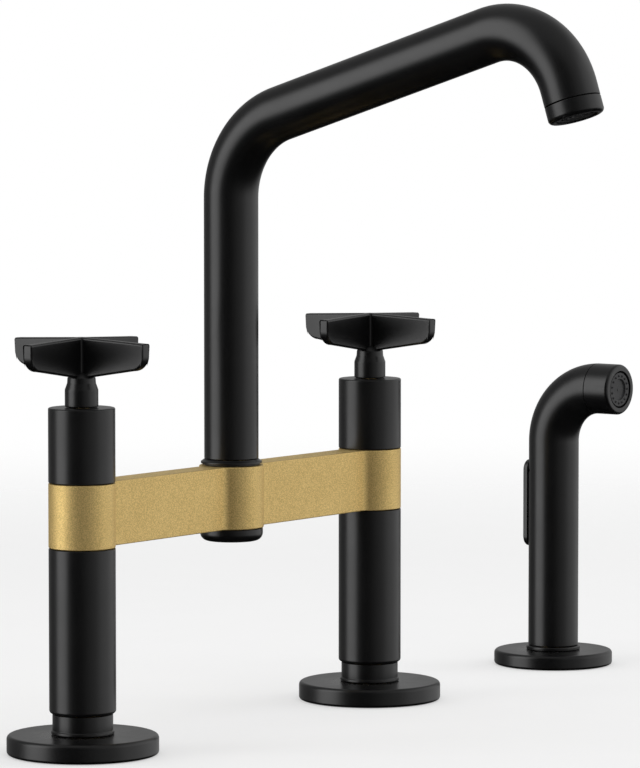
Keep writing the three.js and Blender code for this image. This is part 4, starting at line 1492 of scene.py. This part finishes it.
@dataclass
class SideSpray:
    """Side spray in its own flange, with a trigger on its back."""

    radius: float = 11.9
    bore: float = 7.6
    foot: float = 9.2
    rise_top: float = 107.0
    bend: float = 26.2
    straight: float = 1.0
    lap: float = 2.8
    nozzle: float = 10.6
    nozzle_well: float = 5.0
    face: float = 8.1
    flange: float = 28.2
    flange_height: float = 6.9
    gasket_rim: float = 8.0
    gasket_gap: float = 3.7
    guide: float = 12.8
    guide_rim: float = 1.7
    guide_bore: float = 8.9
    guide_sleeve: float = 10.2
    connector: float = 7.3
    connector_foot: float = 3.0
    connector_spigot: float = 13.0
    hose: float = 4.0
    dish: float = 4.8
    dish_depth: float = 0.8
    jets: int = 15
    jet_circle: float = 6.45
    pad_foot: float = 56.0
    pad_top: float = 97.5
    pad_width: float = 11.0
    pad_in: float = 11.8
    pad_out: float = 14.3
    pad_round: float = 4.5
    pad_edge: float = 1.0
    pocket: float = 10.1
    pin_out: float = 8.8
    pin_height: float = 93.0
    pin: float = 0.8
    pin_half: float = 6.0
    lug: float = 1.75
    lug_half: float = 1.8
    plunger_height: float = 64.0
    plunger: float = 1.5
    plunger_head: float = 2.6
    plunger_head_height: float = 1.2

    def line(self) -> Centreline:
        """Centreline of the body, up and over to the nozzle."""
        line = Centreline(self.foot).straight(self.rise_top - self.foot, 8).bend(self.bend, 90, 40)
        return line.straight(self.straight)

    def across(self) -> Matrix:
        """Frame of the trigger's pin: Z along the pin."""
        return Matrix.Translation((0, self.pin_out, self.pin_height)) @ Matrix.Rotation(math.pi / 2, 4, "Y")

    def pad_outline(self, aside: float = 0.0, along: float = 0.0) -> list[tuple[float, float]]:
        """Outline of the trigger's pad, seen from behind.

        Args:
            aside: How much wider it is on each side.
            along: How much longer it is at each end.

        Returns:
            Its points.
        """
        half = self.pad_width / 2 + aside
        low, high = self.pad_foot - along, self.pad_top + along
        corners = ((-half, low), (half, low), (half, high), (-half, high))
        return rounded([(*corner, self.pad_round) for corner in corners], True, 8)

    def build(self, workshop: Workshop) -> None:
        """Makes the spray's pieces.

        Args:
            workshop: Where they are fitted.
        """
        axis = axis_of("spray_guide")
        line = self.line()
        end = line.place(-1)
        rim = self.flange_height + CLEAR
        flange = deck_flange(self.flange, self.flange_height, self.guide_sleeve + CLEAR,
                             self.guide_sleeve + self.gasket_gap, self.flange - self.gasket_rim + CLEAR)
        guide = turned([
            (self.guide_bore, 0), (self.guide_sleeve, 0), (self.guide_sleeve, rim), (self.guide, rim, 0.2),
            (self.guide, rim + self.guide_rim, 0.6), (self.guide_bore, rim + self.guide_rim, 0.3),
        ])
        fit = workshop.fit
        fit(flange.mesh("spray_flange_skin"), axis, Body.FAUCET, Slot.BLACK, ["spray_flange"])
        fit(guide.mesh("spray_guide_skin"), axis, Body.FAUCET, Slot.BLACK, ["spray_guide"])
        fit(self.hose_end(), axis, Body.CONNECTOR, Slot.MACHINED, ["spray_connector"])
        fit(self.body(line), axis, Body.SPRAY_HEAD, Slot.BLACK, ["spray_body"])
        fit(self.nozzle_ring(end), axis, Body.SPRAY_HEAD, Slot.BLACK, ["spray_nozzle_ring"])
        fit(self.spray_face(end), axis, Body.SPRAY_HEAD, Slot.PLASTIC, ["spray_face"])
        fit(self.pin_mesh(), axis, Body.SPRAY_HEAD, Slot.STEEL, ["spray_trigger_pin"])
        fit(self.trigger(), axis, Body.TRIGGER, Slot.BLACK, ["spray_trigger"])
        fit(self.plunger_mesh(), axis, Body.PLUNGER, Slot.MACHINED, ["spray_plunger"])

    def hose_end(self) -> bpy.types.Mesh:
        """Connector with a waisted collar between spray and hose.

        Returns:
            The mesh.
        """
        foot, seat, top = self.connector_foot, self.foot - CLEAR, self.foot + self.connector_spigot
        collar = self.guide_bore - CLEAR
        waist = collar - 0.35
        shell = turned([
            (self.hose, foot), (collar, foot, 0.4), (collar, foot + 1.4), (waist, foot + 1.6),
            (waist, foot + 4.4), (collar, foot + 4.6), (collar, seat, 0.3), (self.connector, seat),
            (self.connector, top, 0.5), (self.hose, top),
        ], 96, 4)
        return shell.mesh("hose_connector")

    def body(self, line: Centreline) -> bpy.types.Mesh:
        """Bent body with the trigger's pocket, the pin hole and the plunger hole.

        Args:
            line: Its centreline.

        Returns:
            The mesh.
        """
        upright = Matrix.Rotation(math.pi / 2, 4, "X")
        pocket = prism(self.pad_outline(0.4, 0.6), -(self.radius + 2), -self.pocket).placed(upright)
        aside, along = self.lug_half + CLEAR, self.lug + CLEAR
        low, high = self.pin_height - along, self.pin_height + along
        slot = prism([(-aside, low), (aside, low), (aside, high), (-aside, high)],
                     -(self.radius - 0.5), -5.0).placed(upright)
        back = facing_back(self.plunger_height)
        well_floor = 8.3
        well = rod(self.plunger_head + CLEAR, well_floor, self.radius - 0.4, 40).placed(back)
        stem_hole = rod(self.plunger + CLEAR, 5, well_floor + 0.7, 32).placed(back)
        pin_hole = rod(self.pin + 0.1, -14, 14, 24).placed(self.across())
        tube = line.tube(self.radius, self.bore, 0.3, 96).mesh("spray_body_skin")
        reach = 20.0
        front = self.lap - self.bend - self.straight
        ahead = prism([(-reach, front - reach), (reach, front - reach), (reach, front), (-reach, front)],
                      self.rise_top, self.rise_top + 2 * self.bend)
        mesh = combined(tube, [pocket, slot, well, stem_hole, pin_hole, ahead], "DIFFERENCE")
        mesh.name = "spray_body_skin"
        return mesh

    def nozzle_ring(self, end: Matrix) -> bpy.types.Mesh:
        """Ring in front of the body that holds the spray face.

        Args:
            end: Frame at the end of the body.

        Returns:
            The mesh.
        """
        spigot = self.bore - CLEAR
        inner, rim, well = spigot - 1.4, self.face + 0.6, self.nozzle - self.nozzle_well
        return turned([
            (inner, -self.lap - 1), (spigot, -self.lap - 1), (spigot, CLEAR - self.lap),
            (self.radius, CLEAR - self.lap, 0.2), (self.radius, self.nozzle, 1.5), (rim, self.nozzle, 0.25),
            (rim, well), (inner, well),
        ], 96, 8).placed(end).mesh("spray_nozzle_skin")

    def spray_face(self, end: Matrix) -> bpy.types.Mesh:
        """Face with a dish and a circle of soft jets.

        Args:
            end: Frame at the end of the body.

        Returns:
            The mesh.
        """
        back, front = self.nozzle - self.nozzle_well + CLEAR, self.nozzle - 0.4
        floor, knob, knob_top = front - self.dish_depth, 0.8, front - 0.65
        shell = turned([
            (0, back), (self.face, back), (self.face, front, 0.35), (self.dish + 0.25, front, 0.2),
            (self.dish, floor, 0.2), (knob + 0.1, floor), (knob, knob_top, 0.1), (0, knob_top),
        ], 96, 5)
        spoke = Matrix.Translation((self.jet_circle, 0, 0))
        for k in range(self.jets):
            turn = Matrix.Rotation(2 * math.pi * k / self.jets, 4, "Z") @ spoke
            jet = turned([(0, front - 0.5), (0.62, front - 0.5), (0.55, front + 0.28, 0.12),
                          (0.3, front + 0.28, 0.08), (0.26, front - 0.3), (0, front - 0.3)], 16, 3)
            shell.join(jet.placed(turn))
        return shell.placed(end).mesh("spray_face_plate")

    def pin_mesh(self) -> bpy.types.Mesh:
        """Pin across the body that the trigger turns on.

        Returns:
            The mesh.
        """
        half, edge = self.pin_half, 0.15
        shell = turned([(0, -half), (self.pin, -half, edge), (self.pin, half, edge), (0, half)], 24, 3)
        return shell.placed(self.across()).mesh("trigger_pin_skin")

    def trigger(self) -> bpy.types.Mesh:
        """Trigger: a crowned pad outside the body and a lug for the pin inside it.

        Returns:
            The mesh.
        """
        half, long_half = self.pad_width / 2, (self.pad_top - self.pad_foot) / 2
        middle = (self.pad_foot + self.pad_top) / 2
        edge = self.pad_edge
        levels = [(0.0, self.pad_in)]
        levels += [(edge * (1 - math.cos(a)), self.pad_out - edge + edge * math.sin(a))
                   for a in (math.radians(90 * k / 6) for k in range(7))]
        shell = Shell()
        rings = []
        for inset, out in levels:
            aside, along = 1 - inset / half, 1 - inset / long_half
            rings.append(shell.ring(
                Vector((x * aside, out, middle + (z - middle) * along)) for x, z in self.pad_outline()
            ))
        for first, second in zip(rings, rings[1:]):
            shell.skin(first, second)
        shell.faces.append(tuple(rings[0]))
        shell.faces.append(tuple(reversed(rings[-1])))
        wide, into = self.lug_half, self.pad_in + 0.4
        web = prism([(-wide, self.pin_out), (wide, self.pin_out), (wide, into), (-wide, into)],
                    self.pin_height - self.lug, self.pin_height + self.lug)
        eye = rod(self.lug, -wide, wide, 32).placed(self.across())
        hole = rod(self.pin + 0.12, -4, 4, 24).placed(self.across())
        mesh = combined(shell.mesh("trigger_pad"), [web, eye], "UNION")
        mesh = combined(mesh, [hole], "DIFFERENCE")
        mesh.name = "trigger_pad"
        return mesh

    def plunger_mesh(self) -> bpy.types.Mesh:
        """Plunger between the trigger and the spray's valve.

        Returns:
            The mesh.
        """
        head = self.pad_in - CLEAR
        neck = head - self.plunger_head_height
        shell = turned([
            (0, 0), (self.plunger, 0, 0.2), (self.plunger, neck), (self.plunger_head, neck, 0.2),
            (self.plunger_head, head, 0.3), (0, head),
        ], 40, 4)
        return shell.placed(facing_back(self.plunger_height)).mesh("plunger_skin")


def dress_inner(materials: dict[Slot, bpy.types.Material]) -> None:
    """Gives the CAD nodes that still show their finish.

    Args:
        materials: The materials by slot.
    """
    wanted = {part["node"]: Slot(part["material_slot"]) for part in frame["record"]["subparts"]}
    for name, node in frame["nodes"].items():
        node.data.materials.clear()
        node.data.materials.append(materials[wanted[name]])
        if not node.hide_render:
            LOG.info("%s keeps its CAD mesh, %s", name, wanted[name].value)


# ---------------------------------------------------------------- studio


@dataclass(frozen=True)
class SoftBox:
    """A soft box that faces the middle of the object.

    It stands at an angle round the object from the camera, to its right, at a distance and a
    height in metres.  Its width and length are in metres too, and its power is in watts.
    """

    name: str
    degrees: float
    distance: float
    height: float
    width: float
    length: float
    power: float


@dataclass
class Studio:
    """Camera, floor and light.

    Angles go round the object from the camera, to its right.  The camera's place is measured from
    the foot of the spout's axis.
    """

    camera_at: Point = (-1.630593, -1.277028, 0.309889)
    yaw: float = 53.001
    pitch: float = 4.427
    lens: float = 223.65
    floor_radius: float = 1.5
    middle: Point = (-0.02, 0.0, 0.15)
    brightest: float = 3.0
    walls: tuple[tuple[float, float], ...] = (
        (-180, 0.42), (-150, 0.20), (-118, 0.16), (-97, 0.22), (-89, 2.5), (-56.5, 2.5), (-48.5, 0.4),
        (-40, 0.06), (-10, 0.04), (6, 0.11), (18, 0.25), (50, 0.50), (72, 1.0), (115, 1.0), (145, 0.55),
        (180, 0.42),
    )

    soft_boxes: tuple[SoftBox, ...] = (
        SoftBox("strip_left", -76, 1.5, 0.6, 0.5, 1.4, 5.0),
        SoftBox("wall_right", 108, 1.7, 0.7, 1.2, 1.4, 10.0),
        SoftBox("ceiling", 0, 0.05, 1.7, 1.6, 1.6, 12.0),
    )

    def directions(self) -> tuple[Vector, Vector]:
        """Level directions from the object to the camera and to the camera's right."""
        yaw = math.radians(self.yaw)
        return Vector((-math.sin(yaw), -math.cos(yaw), 0)), Vector((math.cos(yaw), -math.sin(yaw), 0))

    def around(self, degrees: float, distance: float, height: float) -> Vector:
        """Point at an angle from the camera's side.

        Args:
            degrees: Angle to the camera's right.
            distance: How far from the middle.
            height: Height above the floor.

        Returns:
            The point.
        """
        front, right = self.directions()
        turn = math.radians(degrees)
        spot = Vector(self.middle) + (front * math.cos(turn) + right * math.sin(turn)) * distance
        spot.z = height
        return spot

    def camera(self) -> None:
        """Makes the camera at the photograph's angle."""
        data = bpy.data.cameras.new("camera")
        data.lens = self.lens
        data.sensor_width = 36.0
        data.clip_start, data.clip_end = 0.05, 60.0
        camera = bpy.data.objects.new("camera", data)
        camera.location = axis_of("spout_base_ring") + Vector(self.camera_at)
        camera.rotation_euler = (math.radians(90 - self.pitch), 0, -math.radians(self.yaw))
        bpy.context.scene.collection.objects.link(camera)
        bpy.context.scene.camera = camera

    def lamp(self, box: SoftBox) -> None:
        """Makes a soft box.

        Args:
            box: The soft box.
        """
        data = bpy.data.lights.new(box.name, "AREA")
        data.shape = "RECTANGLE"
        data.size, data.size_y = box.width, box.length
        data.energy = box.power
        lamp = bpy.data.objects.new(box.name, data)
        spot = self.around(box.degrees, box.distance, box.height)
        lamp.location = spot
        lamp.rotation_euler = (spot - Vector(self.middle)).to_track_quat("Z", "Y").to_euler()
        lamp.visible_camera = lamp.visible_glossy = False
        bpy.context.scene.collection.objects.link(lamp)

    def floor(self) -> None:
        """Pale round floor that fades into the white background at its rim."""
        shell = Shell()
        rings = [shell.ring([Vector((0, 0, 0))])]
        rings += [shell.ring(circle(1000 * self.floor_radius * k / 12, 96)) for k in range(1, 13)]
        for first, second in zip(rings, rings[1:]):
            shell.skin(first, second)
        floor = loose(shell.mesh("floor"))
        floor.location = (0, 0, -0.0002)
        material, graph, shader = new_material("pale_floor")
        place = graph.add("TexCoord").outputs["Object"]
        grain = graph.add("TexNoise", {"Vector": place, "Scale": 30.0})
        tint = graph.blend(grain.outputs[0], (0.86, 0.86, 0.86), (0.88, 0.88, 0.88))
        graph.feed(shader, {"Base Color": tint, "Roughness": 0.9, "Specular IOR Level": 0.1})
        glow = graph.add("Emission", {"Color": (1, 1, 1, 1), "Strength": 1.0})
        path = graph.add("LightPath").outputs
        seen = graph.math("MAXIMUM", path["Is Camera Ray"], path["Is Transmission Ray"])
        lit = graph.add("MixShader", {0: graph.math("MULTIPLY", seen, 0.45), 1: shader.outputs[0],
                                      2: glow.outputs[0]})
        away = graph.add("VectorMath", {0: place}, operation="LENGTH").outputs["Value"]
        fade = graph.ramp(away, 0.35 * self.floor_radius, 0.98 * self.floor_radius, 0.0, 1.0)
        clear = graph.add("BsdfTransparent")
        whole = graph.add("MixShader", {0: fade, 1: lit.outputs[0], 2: clear.outputs[0]})
        graph.feed(graph.tree.nodes["Material Output"], {"Surface": whole.outputs[0]})
        floor.data.materials.append(material)
        floor.visible_glossy = False

    def room(self, graph: Graph) -> bpy.types.NodeSocket:
        """Brightness of the studio round the object: a strip on the left, a bright wall on the right.

        Args:
            graph: The world's graph.

        Returns:
            The brightness in a direction.
        """
        way = graph.add("TexCoord").outputs["Generated"]
        front, right = (
            graph.add("VectorMath", {0: way, 1: side}, operation="DOT_PRODUCT").outputs["Value"]
            for side in self.directions()
        )
        height = graph.add("SeparateXYZ", {0: way}).outputs["Z"]
        turn = graph.math("ARCTAN2", right, front)
        share = graph.ramp(turn, -math.pi, math.pi, 0.0, 1.0, False)
        ramp = graph.add("ValToRGB", {0: share})
        stops = ramp.color_ramp.elements
        while len(stops) < len(self.walls):
            stops.new(1.0)
        for stop, (degrees, level) in zip(stops, self.walls):
            stop.position = degrees / 360 + 0.5
            stop.color = (*[level / self.brightest] * 3, 1.0)
        wall = graph.math("MULTIPLY", ramp.outputs[0], self.brightest)
        over = graph.ramp(height, 0.5, 0.9, 0.0, 1.0)
        above = graph.math("ADD", graph.math("MULTIPLY", over, 0.35),
                           graph.math("MULTIPLY", wall, graph.math("SUBTRACT", 1.0, over)))
        return graph.math("MULTIPLY", above, graph.ramp(height, -0.42, -0.1, 0.01, 1.0))

    def world(self) -> None:
        """White background, soft light, and the studio's walls in what is mirrored."""
        world = bpy.data.worlds.new("studio")
        world.use_nodes = True
        world.cycles.sampling_method = "NONE"
        graph = Graph(world.node_tree)
        graph.tree.nodes.clear()
        path = graph.add("LightPath").outputs
        seen = graph.math("MAXIMUM", path["Is Camera Ray"], path["Is Transmission Ray"])
        white = graph.add("Background", {"Color": (1, 1, 1, 1), "Strength": 1.0})
        mirrored = graph.add("Background", {"Color": (1, 1, 1, 1), "Strength": self.room(graph)})
        soft = graph.add("Background", {"Color": (1, 1, 1, 1), "Strength": 0.5})
        lit = graph.add("MixShader", {0: path["Is Glossy Ray"], 1: soft.outputs[0], 2: mirrored.outputs[0]})
        whole = graph.add("MixShader", {0: seen, 1: lit.outputs[0], 2: white.outputs[0]})
        graph.add("OutputWorld", {"Surface": whole.outputs[0]})
        bpy.context.scene.world = world

    def build(self) -> None:
        """Makes the whole studio."""
        self.camera()
        self.floor()
        self.world()
        for box in self.soft_boxes:
            self.lamp(box)
        bpy.context.scene.view_settings.view_transform = "Standard"


def write_sizes() -> None:
    """Brings the view layer up to date."""
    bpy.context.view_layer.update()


def main() -> None:
    """Builds the faucet's looks and the studio round it."""
    logging.basicConfig(level=logging.INFO, format="%(name)s: %(message)s")
    materials = finishes(Effects.made())
    workshop = Workshop(materials)
    for side in Side:
        ValvePost(side).build(workshop)
    Bridge().build(workshop)
    Spout().build(workshop)
    SideSpray().build(workshop)
    dress_inner(materials)
    Studio().build()
    write_sizes()
    LOG.info("%d pieces placed", len(workshop.placed))


if __name__ == "__main__":
    main()
